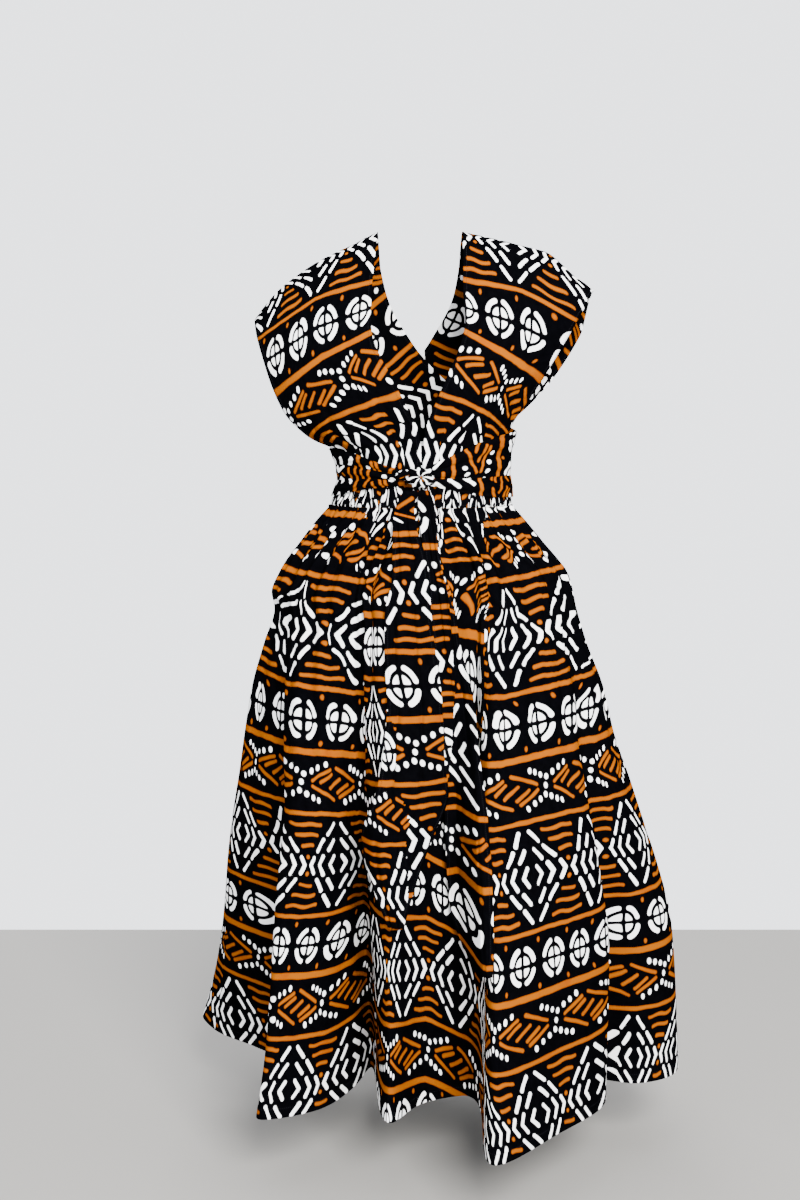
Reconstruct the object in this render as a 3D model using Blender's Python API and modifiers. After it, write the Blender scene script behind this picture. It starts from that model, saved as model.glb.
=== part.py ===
"""An African wax-print infinity wrap dress as it hangs when it is worn, with nobody in it.

Units are metres. +Z is up, the front faces -Y and the wearer's left is at +X.
The origin lies midway between the shoulders, at the top of the two straps.
The cloth is a set of open surfaces with a Solidify modifier on each.
"""

import math

import bpy
import numpy as np

# The wall of the cloth, and the gap between pieces at a seam
WALL = 0.002
SEAM_GAP = 0.0003

# Heights of the main lines
BAND_TOP = -0.4050
BAND_BOTTOM = -0.4520
HIP_LINE = -0.600
KNEE_LINE = -0.930
HEM_LINE = -1.370

# The waist, as half width and depth to the front and to the back
WAIST_HALF = 0.148
WAIST_FRONT = 0.108
WAIST_BACK = 0.096

# The hip, which the pockets push out at the sides
HIP_LEFT = 0.242
HIP_RIGHT = 0.250
HIP_FRONT = 0.170
HIP_BACK = 0.165

# Layers, as distance of the middle of the cloth from the waistband's
LAYER_WRAP = 0.0062
LAYER_OVER = 0.0105
LAYER_TAIL = 0.0050

# Gathers of the skirt in each panel, and mesh columns for each gather
GATHERS = 20
COLUMNS_FOR_GATHER = 4

# Heights of the skirt's mesh rows, downward
SKIRT_ROWS = (
    -0.4523, -0.4563, -0.4780, -0.5080, -0.5440, -0.5820,
    -0.6250, -0.7000, -0.8000, -0.9300, -1.0800, -1.2300,
    -1.3700,
)

# The skirt's outline from the front: height, reach to the left, reach to the right
SKIRT_OUTLINE = (
    (-0.456, 0.152, 0.152),
    (-0.476, 0.169, 0.168),
    (-0.510, 0.194, 0.195),
    (-0.540, 0.217, 0.221),
    (-0.560, 0.229, 0.236),
    (-0.595, 0.243, 0.248),
    (-0.620, 0.240, 0.254),
    (-0.680, 0.259, 0.272),
    (-0.750, 0.280, 0.299),
    (-0.830, 0.294, 0.318),
    (-0.900, 0.304, 0.343),
    (-0.970, 0.316, 0.366),
    (-1.050, 0.328, 0.392),
    (-1.130, 0.337, 0.412),
    (-1.200, 0.346, 0.418),
    (-1.270, 0.358, 0.421),
    (-1.370, 0.384, 0.424),
)

# How far the gathers stand out: height, amplitude
GATHER_DEPTH = (
    (-0.452, 0.0028),
    (-0.457, 0.0028),
    (-0.470, 0.0048),
    (-0.500, 0.0075),
    (-0.540, 0.0070),
    (-0.600, 0.0045),
    (-0.680, 0.0020),
    (-0.780, 0.0000),
    (-1.370, 0.0000),
)

# The skirt's folds, from the left side seam round the front to the right and on round the back.
# turn and out place the fold on the hip's oval, and x and y place it at the knee and at the hem.
FOLD_COLUMNS = ("name", "turn", "out", "knee_x", "knee_y", "hem_x", "hem_y")
FOLDS = (
    ("seam_left", -90, 0.000, -0.312, 0.030, -0.352, 0.118),
    ("left_face", -76, 0.000, -0.268, -0.045, -0.275, 0.042),
    ("valley_1", -64, -0.006, -0.222, -0.088, -0.205, -0.035),
    ("corner_1", -54, 0.005, -0.204, -0.192, -0.241, -0.238),
    ("lobe_1", -44, 0.002, -0.155, -0.197, -0.160, -0.203),
    ("slope_1", -36, -0.003, -0.124, -0.170, -0.108, -0.120),
    ("valley_2", -28, -0.010, -0.105, -0.135, -0.084, -0.044),
    ("corner_2", -14, 0.004, -0.045, -0.226, -0.046, -0.248),
    ("lobe_2", 0, 0.002, 0.002, -0.205, 0.000, -0.180),
    ("valley_3", 12, -0.007, 0.056, -0.165, 0.062, -0.152),
    ("corner_3", 28, 0.008, 0.104, -0.268, 0.104, -0.386),
    ("lobe_3", 46, 0.002, 0.183, -0.228, 0.190, -0.298),
    ("edge_3", 62, 0.002, 0.264, -0.155, 0.288, -0.150),
    ("valley_4", 69, -0.006, 0.268, -0.113, 0.272, -0.088),
    ("corner_4", 76, 0.000, 0.308, -0.103, 0.345, -0.105),
    ("corner_5", 83, 0.000, 0.341, -0.062, 0.405, -0.075),
    ("seam_right", 90, 0.000, 0.354, 0.010, 0.424, 0.015),
    ("valley_5", 103, -0.006, 0.288, 0.085, 0.318, 0.095),
    ("corner_6", 116, 0.005, 0.278, 0.185, 0.350, 0.262),
    ("valley_6", 129, -0.006, 0.196, 0.186, 0.212, 0.222),
    ("corner_7", 143, 0.005, 0.132, 0.245, 0.152, 0.348),
    ("valley_7", 158, -0.006, 0.047, 0.198, 0.048, 0.240),
    ("corner_8", 173, 0.005, -0.030, 0.250, -0.040, 0.362),
    ("valley_8", 188, -0.006, -0.102, 0.198, -0.118, 0.238),
    ("corner_9", 204, 0.005, -0.178, 0.232, -0.228, 0.322),
    ("valley_9", 223, -0.006, -0.222, 0.170, -0.252, 0.212),
    ("corner_10", 246, 0.003, -0.292, 0.125, -0.380, 0.190),
)
SEAM_RIGHT_ROW = 16

# Pocket mouths in the side seams: height, half of the opening
POCKET_MOUTH = (
    (-0.4523, 0.000),
    (-0.4563, 0.000),
    (-0.4780, 0.012),
    (-0.5080, 0.022),
    (-0.5440, 0.027),
    (-0.5820, 0.020),
    (-0.6250, 0.000),
    (-1.3700, 0.000),
)
MOUTH_REACH = 0.300
POCKET_SET_IN = 0.0012
EDGE_COLUMN = 0.005

# The form that the straps lie on: height, half width left and right, depth front and back
FORM_FRONT = (
    (0.000, 0.0716, 0.0680, 0.030),
    (-0.008, 0.0890, 0.1062, 0.036),
    (-0.021, 0.1130, 0.1610, 0.046),
    (-0.034, 0.1420, 0.2090, 0.055),
    (-0.049, 0.1710, 0.2290, 0.064),
    (-0.072, 0.2060, 0.2530, 0.078),
    (-0.099, 0.2390, 0.2857, 0.092),
    (-0.120, 0.2570, 0.2890, 0.101),
    (-0.147, 0.2760, 0.2800, 0.111),
    (-0.175, 0.2840, 0.2660, 0.119),
    (-0.214, 0.2800, 0.2420, 0.126),
    (-0.260, 0.2650, 0.2080, 0.130),
    (-0.300, 0.2460, 0.1740, 0.127),
    (-0.320, 0.2280, 0.1590, 0.122),
    (-0.336, 0.2070, 0.1520, 0.117),
    (-0.346, 0.1860, 0.1500, 0.114),
    (-0.354, 0.1640, 0.1490, 0.112),
    (-0.362, 0.1510, 0.1485, 0.110),
    (-0.380, 0.1485, 0.1480, 0.108),
    (-0.452, 0.1480, 0.1480, 0.108),
)
FORM_BACK = (
    (0.000, 0.0716, 0.0680, 0.030),
    (-0.008, 0.0890, 0.1062, 0.036),
    (-0.021, 0.1130, 0.1610, 0.047),
    (-0.034, 0.1420, 0.2090, 0.057),
    (-0.049, 0.1710, 0.2290, 0.067),
    (-0.072, 0.2060, 0.2530, 0.081),
    (-0.099, 0.2390, 0.2857, 0.093),
    (-0.120, 0.2570, 0.2890, 0.100),
    (-0.147, 0.2760, 0.2840, 0.106),
    (-0.175, 0.2800, 0.2760, 0.110),
    (-0.214, 0.2670, 0.2570, 0.111),
    (-0.250, 0.2350, 0.2280, 0.108),
    (-0.290, 0.1850, 0.1820, 0.102),
    (-0.320, 0.1570, 0.1560, 0.098),
    (-0.340, 0.1500, 0.1500, 0.097),
    (-0.452, 0.1480, 0.1480, 0.096),
)

# Strap stations, from the shoulder down: x and z of the inner and the outer edge
STRAP_FRONT_LEFT = (
    (-0.0716, 0.000, -0.2760, -0.147),
    (-0.0758, -0.045, -0.2690, -0.176),
    (-0.0800, -0.102, -0.2576, -0.214),
    (-0.0813, -0.145, -0.2420, -0.260),
    (-0.0763, -0.187, -0.2214, -0.302),
    (-0.0460, -0.247, -0.1930, -0.332),
    (-0.0250, -0.290, -0.1640, -0.351),
    (-0.0040, -0.335, -0.1420, -0.372),
    (-0.0006, -0.4047, -0.1340, -0.4047),
)
STRAP_FRONT_RIGHT = (
    (0.0680, 0.000, 0.2857, -0.099),
    (0.0677, -0.045, 0.2640, -0.133),
    (0.0662, -0.105, 0.2408, -0.172),
    (0.0686, -0.158, 0.2092, -0.224),
    (0.0587, -0.197, 0.1777, -0.274),
    (0.0412, -0.238, 0.1494, -0.315),
    (0.0240, -0.278, 0.1400, -0.345),
    (0.0050, -0.330, 0.1370, -0.372),
    (0.0006, -0.4047, 0.1340, -0.4047),
)
STRAP_BACK_LEFT = (
    (-0.0716, 0.000, -0.2760, -0.147),
    (-0.0680, -0.055, -0.2660, -0.190),
    (-0.0520, -0.115, -0.2220, -0.243),
    (-0.0150, -0.178, -0.1620, -0.296),
    (0.0350, -0.236, -0.0850, -0.348),
    (0.0850, -0.284, 0.0050, -0.392),
    (0.1280, -0.314, 0.0850, -0.422),
    (0.1520, -0.330, 0.1480, -0.439),
)
STRAP_BACK_RIGHT = (
    (0.0680, 0.000, 0.2857, -0.099),
    (0.0650, -0.055, 0.2660, -0.165),
    (0.0520, -0.115, 0.2220, -0.232),
    (0.0150, -0.180, 0.1640, -0.292),
    (-0.0350, -0.244, 0.0860, -0.348),
    (-0.0850, -0.298, -0.0050, -0.392),
    (-0.1270, -0.337, -0.0850, -0.422),
    (-0.1490, -0.360, -0.1480, -0.438),
)
STRAP_ROWS = 15
STRAP_COLUMNS = 11
SHOULDER_ROW = 0.006
SIDE_ROW = 0.968
SHOULDER_SPREAD = 0.0009

# Soft lengthwise folds of the front straps: place across, width, depth at the waist
STRAP_FOLDS = (
    (0.16, 0.055, 0.0050),
    (0.38, 0.060, 0.0055),
    (0.60, 0.060, 0.0055),
    (0.82, 0.055, 0.0050),
)

# Waist wraps, from the side to the knot: turn from the front, upper and lower edge
WRAP_LEFT = (
    (90, -0.360, -0.438),
    (70, -0.359, -0.434),
    (50, -0.364, -0.427),
    (32, -0.376, -0.421),
    (17, -0.387, -0.417),
    (9, -0.392, -0.415),
)
WRAP_RIGHT = (
    (90, -0.330, -0.439),
    (70, -0.332, -0.438),
    (50, -0.338, -0.436),
    (32, -0.352, -0.431),
    (17, -0.369, -0.423),
    (4, -0.385, -0.415),
)
WRAP_FOLDS = 3
WRAP_FOLD_DEPTH = 0.0022

# The waistband's ruching
RUCHES = 22
RUCHE_DEPTH = 0.0010

# The knot: centre, half sizes and the turns of its two loops
KNOT_CENTRE = (-0.008, -0.1292, -0.4040)
KNOT_HALF = (0.0280, 0.0135, 0.0180)

# Tails: height, left and right edge
TAIL_LEFT = (
    (-0.4226, -0.030, -0.0060),
    (-0.450, -0.042, -0.0125),
    (-0.480, -0.0465, -0.0090),
    (-0.520, -0.0470, 0.0040),
    (-0.560, -0.0480, 0.0105),
    (-0.615, -0.0590, 0.0140),
    (-0.670, -0.0590, 0.0200),
    (-0.745, -0.0550, 0.0300),
    (-0.840, -0.0640, 0.0340),
    (-0.885, -0.0740, 0.0400),
    (-0.950, -0.0940, 0.0140),
    (-1.020, -0.0760, -0.0120),
    (-1.080, -0.0520, -0.0300),
)
TAIL_RIGHT = (
    (-0.4221, -0.0075, 0.0125),
    (-0.460, -0.0050, 0.0230),
    (-0.520, 0.0020, 0.0280),
    (-0.590, 0.0100, 0.0400),
    (-0.665, 0.0160, 0.0540),
    (-0.740, 0.0240, 0.0760),
    (-0.820, 0.0300, 0.0860),
    (-0.900, 0.0330, 0.0960),
    (-1.000, 0.0370, 0.1020),
    (-1.080, 0.0450, 0.1030),
    (-1.125, 0.0620, 0.1000),
)
TAIL_CREASE = 0.003
TAIL_BRIDGE = 0.020
TAIL_TOP_BEHIND = (0.0050, -0.0012)
TAIL_COLUMNS = 6


def clear_scene():
    """Remove every object that the file starts with."""
    for item in list(bpy.data.objects):
        bpy.data.objects.remove(item, do_unlink=True)


def smooth(rows, column, at):
    """Read one column of a table at the given places, as a smooth line that never overshoots."""
    xs = np.array([row[0] for row in rows], dtype=float)
    ys = np.array([row[column] for row in rows], dtype=float)
    order = np.argsort(xs)
    xs = xs[order]
    ys = ys[order]
    at = np.asarray(at, dtype=float)
    step = np.diff(xs)
    slope = np.diff(ys) / step
    tangent = np.zeros(len(xs))
    tangent[0] = slope[0]
    tangent[-1] = slope[-1]
    for i in range(1, len(xs) - 1):
        if slope[i - 1] * slope[i] > 0:
            w1 = 2 * step[i] + step[i - 1]
            w2 = step[i] + 2 * step[i - 1]
            tangent[i] = (w1 + w2) / (w1 / slope[i - 1] + w2 / slope[i])
    i = np.clip(np.searchsorted(xs, at) - 1, 0, len(xs) - 2)
    t = np.clip((at - xs[i]) / step[i], 0.0, 1.0)
    a = (1 + 2 * t) * (1 - t) ** 2
    b = t * (1 - t) ** 2
    c = t * t * (3 - 2 * t)
    d = t * t * (t - 1)
    return a * ys[i] + b * step[i] * tangent[i] + c * ys[i + 1] + d * step[i] * tangent[i + 1]


def through(places, values, at, period=None):
    """Cubic curve through values at places. It closes on itself where a period is given."""
    places = np.asarray(places, dtype=float)
    values = np.asarray(values, dtype=float)
    at = np.asarray(at, dtype=float)
    if period is not None:
        places = np.concatenate([places[-2:] - period, places, places[:3] + period])
        values = np.concatenate([values[-2:], values, values[:3]])
    step = np.diff(places)
    slope = np.diff(values, axis=0) / step[:, None]
    tangent = np.empty_like(values)
    tangent[0] = slope[0]
    tangent[-1] = slope[-1]
    share = (step[:-1] / (step[:-1] + step[1:]))[:, None]
    tangent[1:-1] = slope[:-1] * (1 - share) + slope[1:] * share
    i = np.clip(np.searchsorted(places, at, side="right") - 1, 0, len(places) - 2)
    h = step[i]
    t = (at - places[i]) / h
    a = ((1 + 2 * t) * (1 - t) ** 2)[:, None]
    b = (t * (1 - t) ** 2 * h)[:, None]
    c = (t * t * (3 - 2 * t))[:, None]
    d = (t * t * (t - 1) * h)[:, None]
    return a * values[i] + b * tangent[i] + c * values[i + 1] + d * tangent[i + 1]


def oval(turn, half, front, back):
    """A point on an oval: turn is 0 at the front and 90 degrees at +X."""
    turn = np.radians(np.asarray(turn, dtype=float))
    depth = np.where(np.cos(turn) > 0, front, back)
    return np.stack([half * np.sin(turn), -depth * np.cos(turn)], axis=-1)


def fold_column(name):
    """One column of the fold table as an array."""
    i = FOLD_COLUMNS.index(name)
    return np.array([row[i] for row in FOLDS], dtype=float)


def cloth_places():
    """Where each fold lies along the cloth, from the left side seam, and the whole way round."""
    hem = np.stack([fold_column("hem_x"), fold_column("hem_y")], axis=-1)
    steps = np.linalg.norm(np.roll(hem, -1, axis=0) - hem, axis=1)
    return np.concatenate([[0.0], np.cumsum(steps)[:-1]]), float(steps.sum())


def skirt_levels():
    """The folds' places in plan at the waist, hip, knee and hem."""
    places, around = cloth_places()
    front = places[SEAM_RIGHT_ROW]
    waist_turn = np.where(
        places <= front,
        -90 + 180 * places / front,
        90 + 180 * (places - front) / (around - front),
    )
    waist = oval(waist_turn, WAIST_HALF, WAIST_FRONT, WAIST_BACK)
    turn = fold_column("turn")
    out = fold_column("out")
    half = np.where(np.sin(np.radians(turn)) < 0, HIP_LEFT, HIP_RIGHT)
    hip = oval(turn, half, HIP_FRONT, HIP_BACK)
    hip = hip * (1 + out / np.linalg.norm(hip, axis=1))[:, None]
    knee = np.stack([fold_column("knee_x"), fold_column("knee_y")], axis=-1)
    hem = np.stack([fold_column("hem_x"), fold_column("hem_y")], axis=-1)
    return waist, hip, knee, hem


def skirt_keys(height):
    """The folds' places in plan at one height."""
    waist, hip, knee, hem = skirt_levels()
    if height > HIP_LINE:
        t = (height - SKIRT_ROWS[1]) / (HIP_LINE - SKIRT_ROWS[1])
        t = min(max(t, 0.0), 1.0)
        s = math.sin(t * math.pi / 2) * 0.55 + t * 0.45
        return waist + (hip - waist) * s
    if height > KNEE_LINE:
        t = (height - HIP_LINE) / (KNEE_LINE - HIP_LINE)
        return hip + (knee - hip) * t
    t = (height - KNEE_LINE) / (HEM_LINE - KNEE_LINE)
    return knee + (hem - knee) * t


def skirt_ring(height, u):
    """Points in plan and outward normals of the skirt at one height and cloth places u."""
    places, around = cloth_places()
    keys = skirt_keys(height)
    dense = np.linspace(0.0, around, 721)
    ring = through(places, keys, dense, around)
    top = min(height, SKIRT_ROWS[1])
    left = float(smooth(SKIRT_OUTLINE, 1, top))
    right = float(smooth(SKIRT_OUTLINE, 2, top))
    scale_left = left / -ring[:, 0].min()
    scale_right = right / ring[:, 0].max()
    small = 1e-4
    here = through(places, keys, np.mod(u, around), around)
    ahead = through(places, keys, np.mod(u + small, around), around)
    behind = through(places, keys, np.mod(u - small, around), around)
    for points in (here, ahead, behind):
        points[:, 0] *= np.where(points[:, 0] < 0, scale_left, scale_right)
    along = ahead - behind
    normal = np.stack([along[:, 1], -along[:, 0]], axis=-1)
    normal /= np.linalg.norm(normal, axis=1)[:, None]
    return here, normal


def gather_wave(u, start, end):
    """Uneven gathers along a panel, 1 on a crest and -1 in a valley."""
    t = (u - start) / (end - start)
    phase = GATHERS * t + 0.16 * np.sin(2 * math.pi * 3 * t) + 0.10 * np.sin(2 * math.pi * 7 * t + 1)
    size = 0.78 + 0.22 * np.sin(2 * math.pi * 5 * t + 0.7)
    return -np.cos(2 * math.pi * phase) * size


def skirt_surface(u, heights, start, end, front):
    """A panel of the skirt as rows of points, downward, from cloth place start to end."""
    rows = []
    for height in heights:
        plan, normal = skirt_ring(height, u)
        wave = gather_wave(u, start, end)
        edge = np.minimum(u - start, end - u)
        fade = np.clip((edge - EDGE_COLUMN) / 0.06, 0.0, 1.0)
        plan = plan + normal * (smooth(GATHER_DEPTH, 1, height) * wave * fade)[:, None]
        mouth = float(smooth(POCKET_MOUTH, 1, height))
        near = np.clip(1 - edge / MOUTH_REACH, 0.0, 1.0)
        near = near * near * (3 - 2 * near)
        plan[:, 1] += (-1 if front else 1) * mouth * near
        rows.append(np.column_stack([plan, np.full(len(u), height)]))
    return np.array(rows)


def skirt_columns(front):
    """Cloth places of a panel's mesh columns, half a seam gap inside its side seams."""
    places, around = cloth_places()
    middle = places[SEAM_RIGHT_ROW]
    start, end = (0.0, middle) if front else (middle, around)
    inner = np.linspace(start, end, GATHERS * COLUMNS_FOR_GATHER + 1)[1:-1]
    first = np.array([start + SEAM_GAP / 2, start + EDGE_COLUMN])
    last = np.array([end - EDGE_COLUMN, end - SEAM_GAP / 2])
    return np.concatenate([first, inner, last]), start, end


def form_point(turn, z, front):
    """A point on the form that the straps lie on. turn is 0 at the middle and 90 at +X."""
    rows = FORM_FRONT if front else FORM_BACK
    left = smooth(rows, 1, z)
    right = smooth(rows, 2, z)
    depth = smooth(rows, 3, z)
    sine = np.sin(np.radians(turn))
    cosine = np.cos(np.radians(turn))
    x = np.where(sine < 0, left, right) * sine
    y = depth * cosine * (-1 if front else 1)
    return np.stack([x, y, z], axis=-1)


def form_turn(x, z, front):
    """The turn at which the form has this x at this height."""
    rows = FORM_FRONT if front else FORM_BACK
    half = np.where(np.asarray(x) < 0, smooth(rows, 1, z), smooth(rows, 2, z))
    return np.degrees(np.arcsin(np.clip(np.asarray(x) / half, -1, 1)))


def ridge_height(x):
    """The height at which the form is this wide, which is where the straps cross the shoulder."""
    column = 1 if x < 0 else 2
    heights = np.linspace(0.0, -0.147 if x < 0 else -0.099, 400)
    widths = smooth(FORM_FRONT, column, heights)
    return float(np.interp(abs(x), widths, heights))


def grid_normals(points):
    """Unit normals of a grid of points, to the side of down x across."""
    down = np.gradient(points, axis=0)
    across = np.gradient(points, axis=1)
    normal = np.cross(down, across)
    length = np.linalg.norm(normal, axis=2)[..., None]
    return normal / np.maximum(length, 1e-12)


def strap_surface(stations, front, across, along, layer):
    """A stretch of strap from the shoulder down, on the form, moved out by its layer."""
    table = np.array(stations, dtype=float)
    turn_in = form_turn(table[:, 0], table[:, 1], front)
    turn_out = form_turn(table[:, 2], table[:, 3], front)
    sign = -1 if table[0, 0] < 0 else 1
    turn_in[0] = 90 * sign
    turn_out[0] = 90 * sign
    if not front:
        turn_in[-1] = -90 * sign
        turn_out[-1] = -90 * sign
    middle = form_point((turn_in + turn_out) / 2, (table[:, 1] + table[:, 3]) / 2, front)
    steps = np.linalg.norm(np.diff(middle, axis=0), axis=1)
    places = np.concatenate([[0.0], np.cumsum(steps)]) / steps.sum()
    line = through(places, table, along)
    turns = through(places, np.stack([turn_in, turn_out], axis=-1), along)
    rows = []
    for i, v in enumerate(along):
        t = min(v / places[1], 1.0)
        if t < 1.0:
            line[i] = table[0] + (table[1] - table[0]) * t * t
        x = line[i, 0] + (line[i, 2] - line[i, 0]) * across
        z = line[i, 1] + (line[i, 3] - line[i, 1]) * across
        ridge = np.array([ridge_height(value) for value in x])
        z = z + (ridge - z) * (1.0 - t) ** 2
        z = np.minimum(z, ridge)
        by_place = form_point(form_turn(x, z, front), z, front)
        by_turn = form_point(turns[i, 0] + (turns[i, 1] - turns[i, 0]) * across, z, front)
        late = min(max((v - 0.45) / 0.35, 0.0), 1.0)
        rows.append(by_place + (by_turn - by_place) * late)
    grid = np.array(rows)
    normal = grid_normals(grid)
    outward = grid - np.array([0.0, 0.0, -0.25])
    outward[..., 2] *= 0.2
    flip = np.sign(np.sum(normal * outward, axis=2))[..., None]
    normal = normal * flip
    grid = grid + normal * layer(along)[:, None, None]
    return grid, normal


def new_object(name, points, faces, colour, collection, wall=WALL):
    """A named object with its own material, as an open surface with a wall."""
    mesh = bpy.data.meshes.new(name)
    mesh.from_pydata([tuple(p) for p in points], [], faces)
    mesh.update()
    item = bpy.data.objects.new(name, mesh)
    collection.objects.link(item)
    material = bpy.data.materials.new(name + "_cloth")
    material.use_nodes = True
    shader = material.node_tree.nodes["Principled BSDF"]
    shader.inputs["Base Color"].default_value = colour
    shader.inputs["Roughness"].default_value = 0.82
    shader.inputs["Metallic"].default_value = 0.0
    mesh.materials.append(material)
    if wall:
        solid = item.modifiers.new("Wall", "SOLIDIFY")
        solid.thickness = wall
        solid.offset = 0.0
        solid.use_even_offset = False
        solid.use_quality_normals = True
        solid.use_rim = True
    return item


def grid_object(name, grid, colour, collection, closed=False, wall=WALL):
    """An object from rows of points. A closed grid joins its last column to its first."""
    rows, columns = grid.shape[:2]
    faces = []
    last = columns if closed else columns - 1
    for r in range(rows - 1):
        for c in range(last):
            d = (c + 1) % columns
            faces.append((r * columns + c, r * columns + d, (r + 1) * columns + d, (r + 1) * columns + c))
    return new_object(name, grid.reshape(-1, 3), faces, colour, collection, wall)


CLOTH_COLOUR = (0.020, 0.019, 0.022, 1.0)
PRINT_COLOUR = (0.240, 0.110, 0.030, 1.0)


def make_skirt(collection):
    """The gathered front and back panels, which meet at the side seams."""
    for name, front in (("skirt_front", True), ("skirt_back", False)):
        u, start, end = skirt_columns(front)
        grid = skirt_surface(u, SKIRT_ROWS, start, end, front)
        grid_object(name, grid, PRINT_COLOUR, collection)


def make_waistband(collection):
    """The ruched band, a ring between the straps and the skirt."""
    count = RUCHES * 3
    turn = np.arange(count) * 360.0 / count
    rows = []
    for z in (BAND_TOP, (BAND_TOP + BAND_BOTTOM) / 2, BAND_BOTTOM):
        plan = oval(turn, WAIST_HALF, WAIST_FRONT, WAIST_BACK)
        outward = plan / np.linalg.norm(plan, axis=1)[:, None]
        wave = np.cos(np.radians(turn) * RUCHES) * RUCHE_DEPTH
        plan = plan + outward * wave[:, None]
        rows.append(np.column_stack([plan, np.full(count, z)]))
    grid_object("waistband", np.array(rows), CLOTH_COLOUR, collection, closed=True)


def make_straps(collection):
    """The two wide straps, in front and behind, split where they cross the shoulder."""
    across = np.linspace(0.0, 1.0, STRAP_COLUMNS + 1)
    inner = np.linspace(0.0, 1.0, STRAP_ROWS + 1)[1:-1]
    along = np.concatenate([[0.0, SHOULDER_ROW], inner, [SIDE_ROW, 1.0]])

    def flat(v):
        return np.zeros(len(v))

    def under(v):
        return LAYER_WRAP * np.clip(v / 0.35, 0.0, 1.0)

    def over(v):
        rise = LAYER_OVER * np.clip(v / 0.30, 0.0, 1.0)
        fall = (LAYER_OVER - LAYER_WRAP) * np.clip((v - 0.80) / 0.20, 0.0, 1.0)
        return rise - fall

    plans = (
        ("strap_front_left", STRAP_FRONT_LEFT, True, flat),
        ("strap_front_right", STRAP_FRONT_RIGHT, True, flat),
        ("strap_back_left", STRAP_BACK_LEFT, False, under),
        ("strap_back_right", STRAP_BACK_RIGHT, False, over),
    )
    for name, stations, front, layer in plans:
        grid, normal = strap_surface(stations, front, across, along, layer)
        if front:
            for place, width, depth in STRAP_FOLDS:
                fold = np.exp(-(((across - place) / width) ** 2))
                grow = np.clip((along - 0.45) / 0.5, 0.0, 1.0)
                grid = grid - normal * (depth * grow[:, None] * fold[None, :])[..., None]
        grid[0, :, 1] = (-1 if front else 1) * (SEAM_GAP / 2 + SHOULDER_SPREAD * across ** 2)
        if not front:
            side = np.sign(grid[-1, 0, 0])
            end = form_point(np.full(len(across), 90.0 * side), grid[-1, :, 2], True)
            grid[-1, :, 0] = end[:, 0] + side * LAYER_WRAP
            grid[-1, :, 1] = SEAM_GAP / 2
        grid_object(name, grid, PRINT_COLOUR, collection)


def make_wraps(collection):
    """The straps' stretches round the waist, from the sides to the knot."""
    for name, rows, side in (("waist_wrap_left", WRAP_LEFT, -1), ("waist_wrap_right", WRAP_RIGHT, 1)):
        turns = np.concatenate([[90, 88.5], np.linspace(rows[0][0], rows[-1][0], 12)[1:]])
        table = [(-row[0], row[1], row[2]) for row in rows]
        upper = smooth(table, 1, -turns)
        lower = smooth(table, 2, -turns)
        across = np.linspace(0.0, 1.0, 4 * WRAP_FOLDS + 1)
        grid = []
        for i, turn in enumerate(turns):
            z = upper[i] + (lower[i] - upper[i]) * across
            wave = -np.cos(across * 2 * math.pi * WRAP_FOLDS) * WRAP_FOLD_DEPTH
            grow = min(1.0, i / 3)
            place = form_point(np.full(len(z), turn * side), z, True)
            plan = place[:, :2]
            outward = plan / np.linalg.norm(plan, axis=1)[:, None]
            plan = plan + outward * (LAYER_WRAP + (wave + WRAP_FOLD_DEPTH) * grow)[:, None]
            if i == 0:
                plan[:, 1] = -SEAM_GAP / 2
            grid.append(np.column_stack([plan, z]))
        grid_object(name, np.array(grid), PRINT_COLOUR, collection)


def make_knot(collection):
    """The knot, a rounded lump with two crossing grooves."""
    bpy.ops.mesh.primitive_uv_sphere_add(segments=18, ring_count=11, radius=1.0)
    item = bpy.context.active_object
    item.name = "knot"
    item.data.name = "knot"
    for vertex in item.data.vertices:
        x, y, z = vertex.co
        groove = 0.16 * math.exp(-(((z - 0.45 * x) / 0.20) ** 2))
        groove += 0.12 * math.exp(-(((x + 0.55 * z - 0.25) / 0.18) ** 2))
        size = 1.0 - (groove if y < 0.2 else 0.0)
        vertex.co.x = KNOT_CENTRE[0] + x * size * KNOT_HALF[0]
        vertex.co.y = KNOT_CENTRE[1] + y * size * KNOT_HALF[1]
        vertex.co.z = KNOT_CENTRE[2] + z * size * KNOT_HALF[2]
    item.data.update()
    material = bpy.data.materials.new("knot_cloth")
    material.use_nodes = True
    shader = material.node_tree.nodes["Principled BSDF"]
    shader.inputs["Base Color"].default_value = PRINT_COLOUR
    shader.inputs["Roughness"].default_value = 0.82
    shader.inputs["Metallic"].default_value = 0.0
    item.data.materials.append(material)
    for other in list(item.users_collection):
        other.objects.unlink(item)
    collection.objects.link(item)


def skirt_front_depth(height):
    """Places across and how far forward the skirt reaches there, as a cloth would bridge its folds."""
    start = 0.0
    end = cloth_places()[0][SEAM_RIGHT_ROW]
    fine = np.linspace(start, end, 1601)
    points = skirt_surface(fine, (max(min(height, SKIRT_ROWS[0]), SKIRT_ROWS[-1]),), start, end, True)[0]
    places = np.linspace(-0.16, 0.16, 81)
    depth = [points[np.abs(points[:, 0] - x) < TAIL_BRIDGE, 1].min() for x in places]
    return places, np.convolve(np.pad(depth, 3, mode="edge"), np.ones(7) / 7, mode="valid")


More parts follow.
